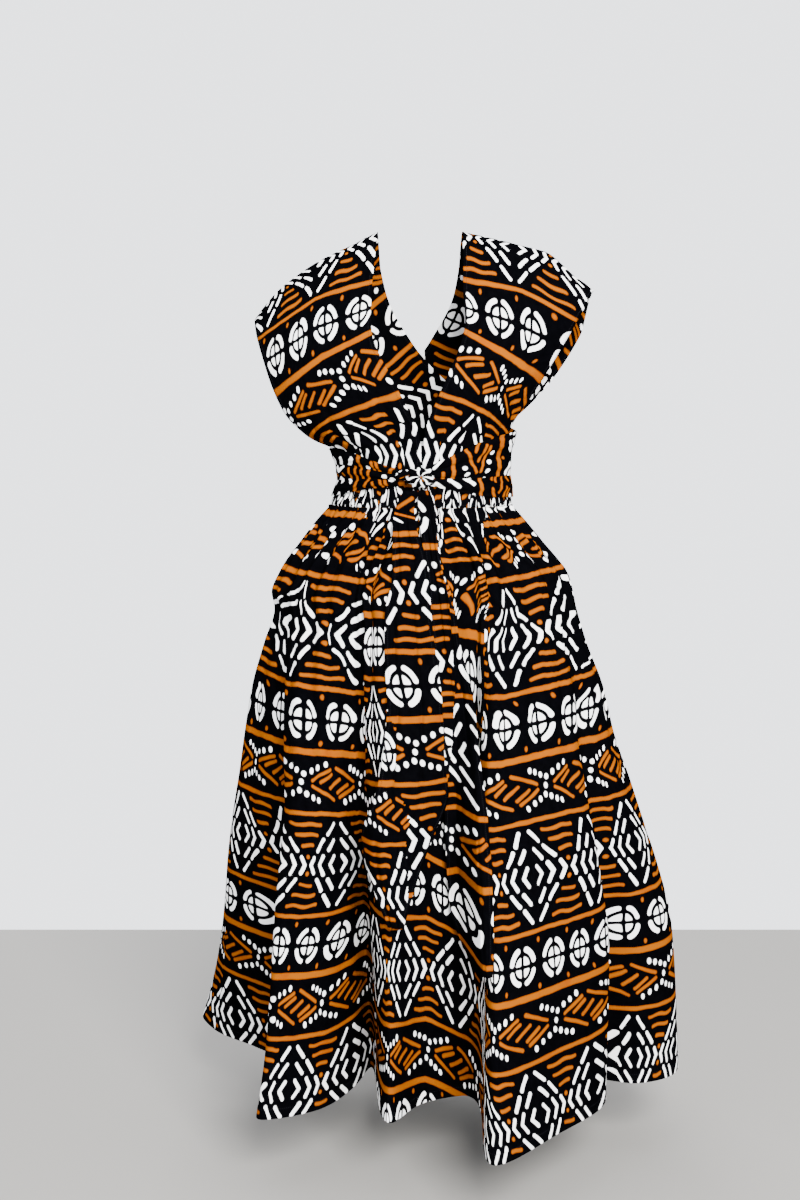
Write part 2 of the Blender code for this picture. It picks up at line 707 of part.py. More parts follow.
def make_tails(collection):
    """The straps' ends, which hang from the knot over the skirt's front."""
    for name, rows, layer in (("tail_right", TAIL_RIGHT, 1), ("tail_left", TAIL_LEFT, 2)):
        heights = np.linspace(rows[0][0], rows[-1][0], 15)
        across = np.linspace(0.0, 1.0, TAIL_COLUMNS + 1)
        grid = []
        for z in heights:
            left = float(smooth(rows, 1, z))
            right = float(smooth(rows, 2, z))
            x = left + (right - left) * across
            places, depth = skirt_front_depth(z)
            low = min(1.0, (rows[0][0] - z) / 0.06)
            crease = TAIL_CREASE * (1 - np.abs(2 * across - 1)) * low
            y = np.interp(x, places, depth) - LAYER_TAIL * layer - crease
            top = KNOT_CENTRE[1] + TAIL_TOP_BEHIND[layer - 1]
            y = top + (y - top) * low
            grid.append(np.column_stack([x, y, np.full(len(x), z)]))
        grid_object(name, np.array(grid), PRINT_COLOUR, collection)


def make_pockets(collection):
    """The pocket bags, cups whose mouths lie behind the openings in the side seams."""
    for name, side in (("pocket_left", -1), ("pocket_right", 1)):
        heights = [h for h in SKIRT_ROWS if smooth(POCKET_MOUTH, 1, h) > 0]
        edges = []
        for front in (True, False):
            u, start, end = skirt_columns(front)
            grid = skirt_surface(u, heights, start, end, front)
            column = 0 if (side < 0) == front else -1
            edges.append(grid[:, column])
        loop = np.concatenate([edges[0], edges[1][::-1]])
        loop = loop.copy()
        loop[:, 0] -= side * (WALL / 2 + SEAM_GAP + POCKET_SET_IN)
        centre = loop.mean(axis=0)
        rings = [loop]
        plan = (
            (0.022, 0.000, 0.008, 0.90, 0.62, 10),
            (0.050, 0.000, 0.030, 0.86, 0.62, 32),
            (0.066, -0.006, 0.075, 0.78, 0.66, 60),
            (0.070, -0.014, 0.125, 0.66, 0.64, 84),
            (0.068, -0.020, 0.170, 0.45, 0.50, 90),
        )
        for inward, forward, down, tall, wide, tilt in plan:
            away = loop - centre
            ring = np.empty_like(away)
            angle = math.radians(tilt)
            ring[:, 0] = away[:, 0] * 0.3 * (1 - tilt / 90)
            ring[:, 1] = away[:, 1] * wide
            ring[:, 2] = away[:, 2] * tall * math.cos(angle)
            ring[:, 0] += side * away[:, 2] * tall * math.sin(angle) * 0.55
            ring += centre + np.array([-side * inward, forward, -down])
            rings.append(ring)
        count = len(loop)
        points = np.concatenate(rings + [rings[-1].mean(axis=0)[None, :] + [0, 0, -0.006]])
        faces = []
        for r in range(len(rings) - 1):
            for c in range(count):
                d = (c + 1) % count
                faces.append((r * count + c, r * count + d, (r + 1) * count + d, (r + 1) * count + c))
        tip = len(points) - 1
        base = (len(rings) - 1) * count
        for c in range(count):
            faces.append((base + c, base + (c + 1) % count, tip))
        new_object(name, points, faces, CLOTH_COLOUR, collection, 0.001)


def main():
    """Build every piece in a collection named for the dress."""
    clear_scene()
    collection = bpy.data.collections.new("ankara_wrap_dress")
    bpy.context.scene.collection.children.link(collection)
    make_skirt(collection)
    make_waistband(collection)
    make_straps(collection)
    make_wraps(collection)
    make_knot(collection)
    make_tails(collection)
    make_pockets(collection)


main()
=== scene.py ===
# %% [markdown]
# # An ankara wrap dress in wax print
#
# The dress hangs as it is worn, with nobody in it. Two wide straps go over the shoulders,
# cross behind, come round the waist and are tied in front, over a long gathered skirt.
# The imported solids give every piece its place. Here each solid is replaced by thin cloth
# on the same form, with its gathers, folds, hems and stitches, and with the printed pattern.

import math

import bmesh
import bpy
import numpy as np
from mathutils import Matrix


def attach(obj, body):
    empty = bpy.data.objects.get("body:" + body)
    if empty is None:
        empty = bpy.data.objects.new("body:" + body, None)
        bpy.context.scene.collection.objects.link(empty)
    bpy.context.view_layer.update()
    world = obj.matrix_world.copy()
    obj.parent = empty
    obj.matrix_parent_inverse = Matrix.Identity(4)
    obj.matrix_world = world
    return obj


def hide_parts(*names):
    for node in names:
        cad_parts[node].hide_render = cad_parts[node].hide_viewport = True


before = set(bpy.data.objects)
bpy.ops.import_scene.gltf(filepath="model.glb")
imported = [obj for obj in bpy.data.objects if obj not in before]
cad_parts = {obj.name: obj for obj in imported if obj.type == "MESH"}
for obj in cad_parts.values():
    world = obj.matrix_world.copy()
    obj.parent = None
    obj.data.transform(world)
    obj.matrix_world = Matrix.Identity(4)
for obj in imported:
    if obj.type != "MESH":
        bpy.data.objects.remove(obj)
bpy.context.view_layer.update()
print("nodes:", sorted(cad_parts))


def put_in(name, data):
    """An object that holds the data, in the scene."""
    item = bpy.data.objects.new(name, data)
    bpy.context.scene.collection.objects.link(item)
    return item


# %% [markdown]
# ## Camera, floor and light
#
# Upright lines stay upright in the photo and the dress sits below the middle of the picture. A
# tilted camera would make them lean, so a level one with a vertical shift is used.

# %% Camera
CAMERA_PLACE = (-0.035, -2.70, -0.290)
LENS, SENSOR, SHIFT_DOWN, SIGHT = 48.75, 36, -0.161, 50
camera = put_in("camera", bpy.data.cameras.new("camera"))
camera.location = CAMERA_PLACE
camera.rotation_euler = (math.radians(90), 0, 0)
camera.data.sensor_width = SENSOR
camera.data.lens = LENS
camera.data.shift_y = SHIFT_DOWN
camera.data.clip_end = SIGHT
bpy.context.scene.camera = camera
print("camera at", tuple(camera.location))

# %% [markdown]
# The floor is a plain pale square, 12 cm below the hem. It could go on to the horizon, but the
# photo's floor ends sooner, so the square ends where that line is.

# %% Floor
FLOOR_HEIGHT, FLOOR_HALF = -1.49, 1.03
FLOOR_COLOUR, FLOOR_ROUGHNESS = (0.22, 0.213, 0.20, 1), 0.9
floor_mesh = bpy.data.meshes.new("floor")
corners = [(-1, -1), (1, -1), (1, 1), (-1, 1)]
spread = [(x * FLOOR_HALF, y * FLOOR_HALF, FLOOR_HEIGHT) for x, y in corners]
floor_mesh.from_pydata(spread, [], [(0, 1, 2, 3)])
floor = put_in("floor", floor_mesh)
floor_look = bpy.data.materials.new("pale_floor")
floor_look.use_nodes = True
floor_shader = floor_look.node_tree.nodes["Principled BSDF"]
floor_shader.inputs["Base Color"].default_value = FLOOR_COLOUR
floor_shader.inputs["Roughness"].default_value = FLOOR_ROUGHNESS
floor_mesh.materials.append(floor_look)
print("floor:", 2 * FLOOR_HALF, "m square")

# %% [markdown]
# Soft, slightly cool light comes from all sides, as in a studio. A backdrop with a mesh would
# catch shadows and block lamps, so it is only a colour that the camera sees and that lights
# nothing. Below the line of the floor the colour turns to the floor's own tone.

# %% World
LIGHT_COLOUR, LIGHT_STRENGTH = (0.93, 0.95, 1.0, 1), 1.7
BACKDROP_COLOUR, BACKDROP_STRENGTH = (0.93, 0.955, 1.0, 1), 2.9
LOW_TONE, TONE_CHANGE = (0.30, 0.295, 0.285, 1), (-0.355, -0.325)
world = bpy.data.worlds.new("room")
world.use_nodes = True
sky = world.node_tree
soft_light = sky.nodes["Background"]
soft_light.inputs["Color"].default_value = LIGHT_COLOUR
soft_light.inputs["Strength"].default_value = LIGHT_STRENGTH
backdrop_light = sky.nodes.new("ShaderNodeBackground")
backdrop_light.inputs["Strength"].default_value = BACKDROP_STRENGTH
way = sky.nodes.new("ShaderNodeTexCoord")
parts = sky.nodes.new("ShaderNodeSeparateXYZ")
level = sky.nodes.new("ShaderNodeMapRange")
level.inputs["From Min"].default_value = TONE_CHANGE[0]
level.inputs["From Max"].default_value = TONE_CHANGE[1]
tone = sky.nodes.new("ShaderNodeMix")
tone.data_type = "RGBA"
tone.inputs[6].default_value = LOW_TONE
tone.inputs[7].default_value = BACKDROP_COLOUR
sky.links.new(way.outputs["Generated"], parts.inputs[0])
sky.links.new(parts.outputs["Z"], level.inputs["Value"])
sky.links.new(level.outputs["Result"], tone.inputs[0])
sky.links.new(tone.outputs[2], backdrop_light.inputs["Color"])
seen = sky.nodes.new("ShaderNodeLightPath")
either = sky.nodes.new("ShaderNodeMixShader")
sky.links.new(seen.outputs["Is Camera Ray"], either.inputs[0])
sky.links.new(soft_light.outputs["Background"], either.inputs[1])
sky.links.new(backdrop_light.outputs["Background"], either.inputs[2])
sky.links.new(either.outputs["Shader"], sky.nodes["World Output"].inputs["Surface"])
bpy.context.scene.world = world
print("light from all sides", LIGHT_STRENGTH, "and backdrop", BACKDROP_STRENGTH)

# %% [markdown]
# Large lamps give soft shadows. The main one stands in front, a little to the right. A weak one
# fills the shadows, one behind lights the back, and one above lights the shoulders.


# %% Lamps
def soft_lamp(name, place, aim, size, power, colour):
    """A large square lamp that looks at a point."""
    lamp = bpy.data.lights.new(name, "AREA")
    lamp.size = size
    lamp.energy = power
    lamp.color = colour
    item = put_in(name, lamp)
    item.location = place
    away = [a - b for a, b in zip(place, aim)]
    turn = math.atan2(away[0], -away[1])
    tilt = math.atan2(math.hypot(away[0], away[1]), away[2])
    item.rotation_euler = (tilt, 0, turn)


soft_lamp("window", (0.9, -3.4, 1.0), (0, 0, -0.6), 1.6, 680, (1.0, 0.99, 0.97))
soft_lamp("fill", (-2.6, -2.2, 0.1), (0, 0, -0.7), 1.8, 24, (0.95, 0.97, 1.0))
soft_lamp("behind", (-0.8, 3.3, 0.9), (0, 0, -0.6), 2.2, 190, (0.97, 0.98, 1.0))
soft_lamp("top", (0.2, -0.6, 2.2), (0, 0, -0.5), 1.6, 30, (0.97, 0.98, 1.0))
print("lamps: window, fill, behind and top")

# %% [markdown]
# ## The form of the dress in numbers
#
# The outlines and folds are read from the tables that the solids were made from, so that the
# cloth lies where the solids are. A few places are changed a little here: the knot is narrower,
# the right tail is up to 7 mm wider, and the waist is drawn in at the sides.
#
# Heights are in metres from the shoulders down. In plan the front is at -Y. The sizes that
# several pieces share come first, and each table stands by the piece it shapes.

# %% Sizes that several pieces share
SEAM_GAP = 0.0003
# Depth of the folded hem and of the straps' folded edges, and the thickness that a fold adds
HEM_DEPTH, EDGE_DEPTH, DOUBLED = 0.016, 0.007, 0.0006
HIP_LINE, KNEE_LINE, HEM_LINE = -0.600, -0.930, -1.370
WAIST_HALF, WAIST_FRONT, WAIST_BACK = 0.148, 0.108, 0.096
# How far the wraps, the strap on top behind and the tails stand off what is under them
LAYER_WRAP, LAYER_OVER, LAYER_TAIL = 0.0062, 0.0105, 0.0050
SKIRT_TOP, SKIRT_LEVEL = -0.4523, -0.4563
print("shoulders to hem:", -HEM_LINE, "m")

# %% [markdown]
# ## Curves through the tables
#
# Two ways to read a table are enough: a smooth line that never overshoots, for outlines, and
# a cubic through points that may close on itself, for the folds of the skirt in plan.


# %% Curves
def smooth(rows, column, at):
    """Read one column of a table at the given places, as a smooth line that never overshoots."""
    xs = np.array([row[0] for row in rows], dtype=float)
    ys = np.array([row[column] for row in rows], dtype=float)
    order = np.argsort(xs)
    xs = xs[order]
    ys = ys[order]
    at = np.asarray(at, dtype=float)
    step = np.diff(xs)
    slope = np.diff(ys) / step
    tangent = np.zeros(len(xs))
    tangent[0] = slope[0]
    tangent[-1] = slope[-1]
    for i in range(1, len(xs) - 1):
        if slope[i - 1] * slope[i] > 0:
            w1 = 2 * step[i] + step[i - 1]
            w2 = step[i] + 2 * step[i - 1]
            tangent[i] = (w1 + w2) / (w1 / slope[i - 1] + w2 / slope[i])
    i = np.clip(np.searchsorted(xs, at) - 1, 0, len(xs) - 2)
    t = np.clip((at - xs[i]) / step[i], 0.0, 1.0)
    a = (1 + 2 * t) * (1 - t) ** 2
    b = t * (1 - t) ** 2
    c = t * t * (3 - 2 * t)
    d = t * t * (t - 1)
    return a * ys[i] + b * step[i] * tangent[i] + c * ys[i + 1] + d * step[i] * tangent[i + 1]


def through(places, values, at, period=None):
    """Cubic curve through values at places. It closes on itself where a period is given."""
    places = np.asarray(places, dtype=float)
    values = np.asarray(values, dtype=float)
    at = np.asarray(at, dtype=float)
    if period is not None:
        places = np.concatenate([places[-2:] - period, places, places[:3] + period])
        values = np.concatenate([values[-2:], values, values[:3]])
    step = np.diff(places)
    slope = np.diff(values, axis=0) / step[:, None]
    tangent = np.empty_like(values)
    tangent[0] = slope[0]
    tangent[-1] = slope[-1]
    share = (step[:-1] / (step[:-1] + step[1:]))[:, None]
    tangent[1:-1] = slope[:-1] * (1 - share) + slope[1:] * share
    i = np.clip(np.searchsorted(places, at, side="right") - 1, 0, len(places) - 2)
    h = step[i]
    t = (at - places[i]) / h
    a = ((1 + 2 * t) * (1 - t) ** 2)[:, None]
    b = (t * (1 - t) ** 2 * h)[:, None]
    c = (t * t * (3 - 2 * t))[:, None]
    d = (t * t * (t - 1) * h)[:, None]
    return a * values[i] + b * tangent[i] + c * values[i + 1] + d * tangent[i + 1]


def ease(value):
    """Smooth step from 0 to 1."""
    value = np.clip(value, 0.0, 1.0)
    return value * value * (3 - 2 * value)


# %% [markdown]
# Cloth is built below as a grid of points. These helpers read its normals and its lengths, and
# draw the sides of the waist in by the same amount for every layer, so that none comes through.


# %% Grids of points
def oval(turn, half, front, back):
    """A point on an oval: turn is 0 at the front and 90 degrees at +X."""
    turn = np.radians(np.asarray(turn, dtype=float))
    depth = np.where(np.cos(turn) > 0, front, back)
    return np.stack([half * np.sin(turn), -depth * np.cos(turn)], axis=-1)


def grid_normals(points):
    """Unit normals of a grid of points, to the side of down x across."""
    down = np.gradient(points, axis=0)
    across = np.gradient(points, axis=1)
    normal = np.cross(down, across)
    length = np.linalg.norm(normal, axis=2)[..., None]
    return normal / np.maximum(length, 1e-12)


# How far the sides of the waist are drawn in: height, left, right
WAIST_PULL = (
    (0.000, 0.000, 0.000), (-0.325, 0.000, 0.000), (-0.363, 0.006, 0.004), (-0.390, 0.013, 0.006),
    (-0.408, 0.015, 0.005), (-0.433, 0.007, 0.002), (-0.452, 0.000, 0.000), (-1.370, 0.000, 0.000),
)
PULL_FROM, PULL_OVER = 0.05, 0.09


def pull_in(grid):
    """Draw the sides of the waist in, further at the left, for every layer of cloth alike."""
    grid = grid.copy()
    x = grid[..., 0]
    z = grid[..., 2].ravel()
    for side, column in ((-1, 1), (1, 2)):
        depth = smooth(WAIST_PULL, column, z).reshape(x.shape)
        grid[..., 0] -= side * depth * ease((side * x - PULL_FROM) / PULL_OVER)
    return grid


def lengths_down(grid):
    """How far each point of a grid lies from the top of its own column, along the cloth."""
    steps = np.linalg.norm(np.diff(grid, axis=0), axis=2)
    return np.vstack([np.zeros(grid.shape[1]), np.cumsum(steps, axis=0)])


def lengths_across(grid):
    """How far each point of a grid lies from the start of its own row, along the cloth."""
    steps = np.linalg.norm(np.diff(grid, axis=1), axis=2)
    return np.hstack([np.zeros((grid.shape[0], 1)), np.cumsum(steps, axis=1)])


# %% [markdown]
# ## The printed pattern
#
# The print is a wax print in the manner of painted mud cloth: bands of white and orange
# marks on black that repeat across and down the cloth. It could be painted as a picture, but
# here each mark is a short rounded stroke, a dot or an arc, worked out from its distance to
# the point that is shaded. The chart below is in millimetres of cloth. Mirrored marks are
# charted once, and a slow noise moves the cloth under the chart a little, so that no stroke
# is ruled.

# %% Chart of the print, in millimetres
PITCH = 139.0
REPEAT = 355.0
THIN_UPPER, THIN_LOWER = 96.0, 257.0
HATCH_MIDDLE, DIAMOND_MIDDLE, CIRCLE_MIDDLE = 48.0, 176.5, 306.0
THICK_HALF, THIN_HALF = 5.4, 3.7
DASH_HALF, BAR_HALF = 3.2, 3.2

# White dashes in a quarter of a diamond, from its middle: x1, y1, x2, y2
DIAMOND_DASHES = (
    (20.5, 0.0, 10.5, 13.0),
    (43.0, 0.0, 34.5, 14.0),
    (63.0, 0.0, 56.0, 12.0),
    (24.0, 23.5, 10.5, 39.0),
    (47.5, 22.5, 33.0, 40.0),
    (24.5, 48.5, 9.5, 66.0),
)
# Orange bars between two diamonds, from the line between them: half length, height
DIAMOND_BARS = ((31.0, 64.0), (21.5, 48.0), (10.5, 31.0))
# Orange strokes in the lower half of a hatched lozenge, from its middle
LOZENGE_STROKES = (
    (11.0, 21.5, 50.0, 4.0),
    (-50.0, 5.0, -5.0, 25.0),
    (6.5, 14.0, 31.0, 0.5),
    (-31.0, -0.5, -6.5, -14.0),
    (-13.0, 7.5, 13.0, -7.5),
)
# Arcs of a circle: half width, half height, half thickness, first and last turn
ARC_WIDE, ARC_TALL, ARC_HALF, ARC_FIRST, ARC_LAST = 23.5, 27.0, 4.2, 0.30, 1.22
# The wedges inside it: half width, half height, half of the gap between two, rounding
WEDGE_WIDE, WEDGE_TALL, WEDGE_GAP, WEDGE_ROUND = 15.0, 17.5, 2.0, 4.0
# White dots in the lower half of the cross between two lozenges, from its middle
CROSS_DOTS = (
    (0.0, 0.0), (-4.0, 13.5), (-17.5, 19.3), (-32.0, 23.8),
    (-47.0, 29.4), (7.7, 18.2), (19.7, 23.3), (31.5, 27.4),
)
print("a repeat of the print is", PITCH, "x", REPEAT, "mm")


# %% [markdown]
# A node tree written out link by link is long, so a few helpers add one node each and pass its
# result on, as in a formula.


# %% Small helpers for shader nodes
def node(tree, kind, **settings):
    """Add a node and set its properties."""
    item = tree.nodes.new(kind)
    for name, value in settings.items():
        setattr(item, name, value)
    return item


def new_group(name, kind, given, result):
    """A node group with named sockets, and its two end nodes. given and result pair names and kinds."""
    tree = bpy.data.node_groups.new(name, kind)
    for way, sockets in (("INPUT", given), ("OUTPUT", result)):
        for title, sort in sockets:
            tree.interface.new_socket(title, in_out=way, socket_type="NodeSocket" + sort)
    return tree, node(tree, "NodeGroupInput"), node(tree, "NodeGroupOutput")


def feed(tree, socket, value):
    """Give a socket a number, a vector or a link."""
    if isinstance(value, bpy.types.NodeSocket):
        tree.links.new(value, socket)
    elif value is not None:
        socket.default_value = value


def calc(tree, operation, a, b=None, c=None, clamp=False):
    """A math node's result."""
    item = node(tree, "ShaderNodeMath", operation=operation, use_clamp=clamp)
    for i, value in enumerate((a, b, c)):
        feed(tree, item.inputs[i], value)
    return item.outputs[0]


def vector(tree, operation, a, b=None, scale=None):
    """A vector math node's result."""
    item = node(tree, "ShaderNodeVectorMath", operation=operation)
    feed(tree, item.inputs[0], a)
    if b is not None:
        feed(tree, item.inputs[1], b)
    if scale is not None:
        feed(tree, item.inputs["Scale"], scale)
    return item.outputs["Value" if operation in ("DOT_PRODUCT", "DISTANCE", "LENGTH") else "Vector"]


def pair(tree, x, y):
    """A vector from two numbers."""
    item = node(tree, "ShaderNodeCombineXYZ")
    feed(tree, item.inputs[0], x)
    feed(tree, item.inputs[1], y)
    return item.outputs[0]


def stroke(tree, point, x1, y1, x2, y2):
    """Distance from a point to the line between two others."""
    run = (x2 - x1, y2 - y1, 0.0)
    square = run[0] ** 2 + run[1] ** 2
    from_start = vector(tree, "SUBTRACT", point, (x1, y1, 0.0))
    share = vector(tree, "DOT_PRODUCT", from_start, tuple(r / square for r in run))
    share = calc(tree, "MULTIPLY", share, 1.0, clamp=True)
    nearest = vector(tree, "SCALE", run, scale=share)
    return vector(tree, "DISTANCE", from_start, nearest)


def least(tree, values):
    """The smallest of several numbers."""
    result = values[0]
    for value in values[1:]:
        result = calc(tree, "MINIMUM", result, value)
    return result


def inside(tree, distance, soft=0.45):
    """1 where a distance is below zero, with a soft edge."""
    item = node(tree, "ShaderNodeMapRange", interpolation_type="SMOOTHSTEP")
    feed(tree, item.inputs["Value"], distance)
    item.inputs["From Min"].default_value = soft
    item.inputs["From Max"].default_value = -soft
    return item.outputs["Result"]


# %% [markdown]
# The group asks for a place on the cloth and gives masks of the white and the orange marks. It
# folds the whole cloth into one repeat first, so that each mark is worked out only once.


# %% The print as a node group
def make_print_group():
    """White and orange masks of the print for a place on the cloth in metres."""
    ins = (("Cloth", "Vector"), ("Wobble", "Float"))
    outs = (("White", "Float"), ("Orange", "Float"), ("Rim", "Float"))
    tree, given, result = new_group("wax_print", "ShaderNodeTree", ins, outs)

    noise = node(tree, "ShaderNodeTexNoise", noise_dimensions="2D")
    noise.inputs["Scale"].default_value = 26.0
    noise.inputs["Detail"].default_value = 1.0
    feed(tree, noise.inputs["Vector"], given.outputs["Cloth"])
    moved = vector(tree, "SUBTRACT", noise.outputs["Color"], (0.5, 0.5, 0.5))
    moved = vector(tree, "SCALE", moved, scale=given.outputs["Wobble"])
    cloth = vector(tree, "SCALE", given.outputs["Cloth"], scale=1000.0)
    cloth = vector(tree, "ADD", cloth, moved)
    split = node(tree, "ShaderNodeSeparateXYZ")
    feed(tree, split.inputs[0], cloth)
    across, down = split.outputs[0], split.outputs[1]
    thick = calc(tree, "SUBTRACT", noise.outputs["Fac"], 0.5)

    # Each repeat down the cloth starts a quarter of a diamond further to one side
    row = calc(tree, "FLOORED_MODULO", down, REPEAT)
    repeats = calc(tree, "FLOOR", calc(tree, "DIVIDE", down, REPEAT))
    across = calc(tree, "MULTIPLY_ADD", repeats, PITCH / 4, across)
    centred = calc(tree, "ADD", across, PITCH / 2)
    cell = calc(tree, "SUBTRACT", calc(tree, "FLOORED_MODULO", centred, PITCH), PITCH / 2)
    cell_side = calc(tree, "ABSOLUTE", cell)

    # The lines between the bands
    from_top = calc(tree, "MINIMUM", row, calc(tree, "SUBTRACT", REPEAT, row))
    line_thick = calc(tree, "SUBTRACT", from_top, THICK_HALF)
    upper = calc(tree, "ABSOLUTE", calc(tree, "SUBTRACT", row, THIN_UPPER))
    lower = calc(tree, "ABSOLUTE", calc(tree, "SUBTRACT", row, THIN_LOWER))
    line_thin = calc(tree, "SUBTRACT", calc(tree, "MINIMUM", upper, lower), THIN_HALF)
    lines = calc(tree, "MINIMUM", line_thick, line_thin)

    # Diamonds of dashes, and bars between them
    high = calc(tree, "ABSOLUTE", calc(tree, "SUBTRACT", row, DIAMOND_MIDDLE))
    quarter = pair(tree, cell_side, high)
    dashes = least(tree, [stroke(tree, quarter, *mark) for mark in DIAMOND_DASHES])
    dashes = calc(tree, "SUBTRACT", dashes, DASH_HALF)
    beside = calc(tree, "SUBTRACT", PITCH / 2, cell_side)
    ripple = calc(tree, "SINE", calc(tree, "DIVIDE", across, 7.0))
    rippled = calc(tree, "MULTIPLY_ADD", ripple, 1.3, high)
    between = pair(tree, beside, rippled)
    bars = [stroke(tree, between, 0.0, height, reach, height) for reach, height in DIAMOND_BARS]
    to_dot = vector(tree, "DISTANCE", pair(tree, beside, high), (0.0, 13.5, 0.0))
    bars.append(calc(tree, "SUBTRACT", to_dot, 0.6))
    bars = calc(tree, "SUBTRACT", least(tree, bars), BAR_HALF)

    # Circles of four arcs, with four wedges inside and dots between
    half = calc(tree, "SUBTRACT", calc(tree, "FLOORED_MODULO", across, PITCH / 2), PITCH / 4)
    x = calc(tree, "ABSOLUTE", half)
    y = calc(tree, "ABSOLUTE", calc(tree, "SUBTRACT", row, CIRCLE_MIDDLE))
    turn = calc(tree, "ARCTAN2", calc(tree, "DIVIDE", y, ARC_TALL), calc(tree, "DIVIDE", x, ARC_WIDE))
    turn = calc(tree, "MINIMUM", calc(tree, "MAXIMUM", turn, ARC_FIRST), ARC_LAST)
    arc_x = calc(tree, "MULTIPLY", calc(tree, "COSINE", turn), ARC_WIDE)
    arc_y = calc(tree, "MULTIPLY", calc(tree, "SINE", turn), ARC_TALL)
    ring_point = pair(tree, x, y)
    from_arc = vector(tree, "DISTANCE", ring_point, pair(tree, arc_x, arc_y))
    arcs = calc(tree, "SUBTRACT", from_arc, ARC_HALF)
    wide = calc(tree, "DIVIDE", x, WEDGE_WIDE)
    tall = calc(tree, "DIVIDE", y, WEDGE_TALL)
    wedge = calc(tree, "SUBTRACT", vector(tree, "LENGTH", pair(tree, wide, tall)), 1.0)
    wedge = calc(tree, "MULTIPLY", wedge, WEDGE_WIDE)
    wedge = calc(tree, "SMOOTH_MAX", wedge, calc(tree, "SUBTRACT", WEDGE_GAP, x), WEDGE_ROUND)
    wedge = calc(tree, "SMOOTH_MAX", wedge, calc(tree, "SUBTRACT", WEDGE_GAP, y), WEDGE_ROUND)
    wedge = calc(tree, "ADD", wedge, 0.6)
    apart = calc(tree, "SUBTRACT", PITCH / 4, x)
    dots = vector(tree, "DISTANCE", pair(tree, apart, calc(tree, "MULTIPLY", y, 0.72)), (0.0, 25.5, 0.0))
    dots = calc(tree, "SUBTRACT", dots, 3.2)

    # Hatched lozenges with dotted crosses between them
    lean = calc(tree, "SUBTRACT", row, HATCH_MIDDLE)
    side = calc(tree, "SIGN", lean)
    lozenge = calc(tree, "MULTIPLY", cell, side)
    below = calc(tree, "ABSOLUTE", lean)
    place = pair(tree, lozenge, below)
    hatch = least(tree, [stroke(tree, place, *mark) for mark in LOZENGE_STROKES])
    hatch = calc(tree, "SUBTRACT", hatch, BAR_HALF)
    cross = calc(tree, "SUBTRACT", calc(tree, "FLOORED_MODULO", lozenge, PITCH), PITCH / 2)
    spot = pair(tree, cross, calc(tree, "MULTIPLY", below, 0.8))
    spots = [vector(tree, "DISTANCE", spot, (px, py * 0.8, 0.0)) for px, py in CROSS_DOTS]
    spots = calc(tree, "SUBTRACT", least(tree, spots), 3.8)

    white = least(tree, [dashes, arcs, wedge, spots])
    orange = least(tree, [lines, bars, dots, hatch])
    white = calc(tree, "MULTIPLY_ADD", thick, 1.6, white)
    orange = calc(tree, "MULTIPLY_ADD", thick, 1.6, orange)
    feed(tree, result.inputs["White"], inside(tree, white))
    feed(tree, result.inputs["Orange"], inside(tree, orange))
    feed(tree, result.inputs["Rim"], calc(tree, "MULTIPLY_ADD", orange, 0.45, 1.0, clamp=True))
    return tree


PRINT_GROUP = make_print_group()
print("print group:", len(PRINT_GROUP.nodes), "nodes")

# %% [markdown]
# ## Cotton
#
# Wax print is a plain weave of fine cotton: two sets of threads at right angles. Two sine
# waves make them, with a noise for thicker threads. They could be geometry, but a thread is a
# few tenths of a millimetre, so they go into a bump, and a little into roughness and the black.


# %% The weave as a node group
def make_weave_group():
    """Height and a slight unevenness of a plain weave, for a place on the cloth in metres."""
    ins = (("Cloth", "Vector"), ("Threads", "Float"))
    outs = (("Height", "Float"), ("Uneven", "Float"))
    tree, given, result = new_group("plain_weave", "ShaderNodeTree", ins, outs)
    scaled = vector(tree, "SCALE", given.outputs["Cloth"], scale=given.outputs["Threads"])
    split = node(tree, "ShaderNodeSeparateXYZ")
    feed(tree, split.inputs[0], scaled)
    warp = calc(tree, "SINE", split.outputs[0])
    weft = calc(tree, "SINE", split.outputs[1])
    weave = calc(tree, "MULTIPLY", warp, weft)
    slub = node(tree, "ShaderNodeTexNoise", noise_dimensions="2D")
    slub.inputs["Scale"].default_value = 90.0
    slub.inputs["Detail"].default_value = 4.0
    feed(tree, slub.inputs["Vector"], given.outputs["Cloth"])
    height = calc(tree, "MULTIPLY_ADD", slub.outputs["Fac"], 1.5, weave)
    feed(tree, result.inputs["Height"], height)
    feed(tree, result.inputs["Uneven"], slub.outputs["Fac"])
    return tree


WEAVE_GROUP = make_weave_group()
print("weave group:", len(WEAVE_GROUP.nodes), "nodes")

# %% [markdown]
# The dye's colours are set darker than they look in the photo, because the picture's tone
# curve lifts them. The orange is uneven, and darker at the rim of each mark.


# %% Materials
def blend_colours(tree, share, first, second):
    """A colour mix."""
    item = node(tree, "ShaderNodeMix", data_type="RGBA")
    feed(tree, item.inputs[0], share)
    feed(tree, item.inputs[6], first)
    feed(tree, item.inputs[7], second)
    return item.outputs[2]


def set_cotton(shader):
    """Take gloss and sheen away, since the photo's black is flat and very dark."""
    shader.inputs["Specular IOR Level"].default_value = 0.0
    shader.inputs["Sheen Weight"].default_value = 0.0


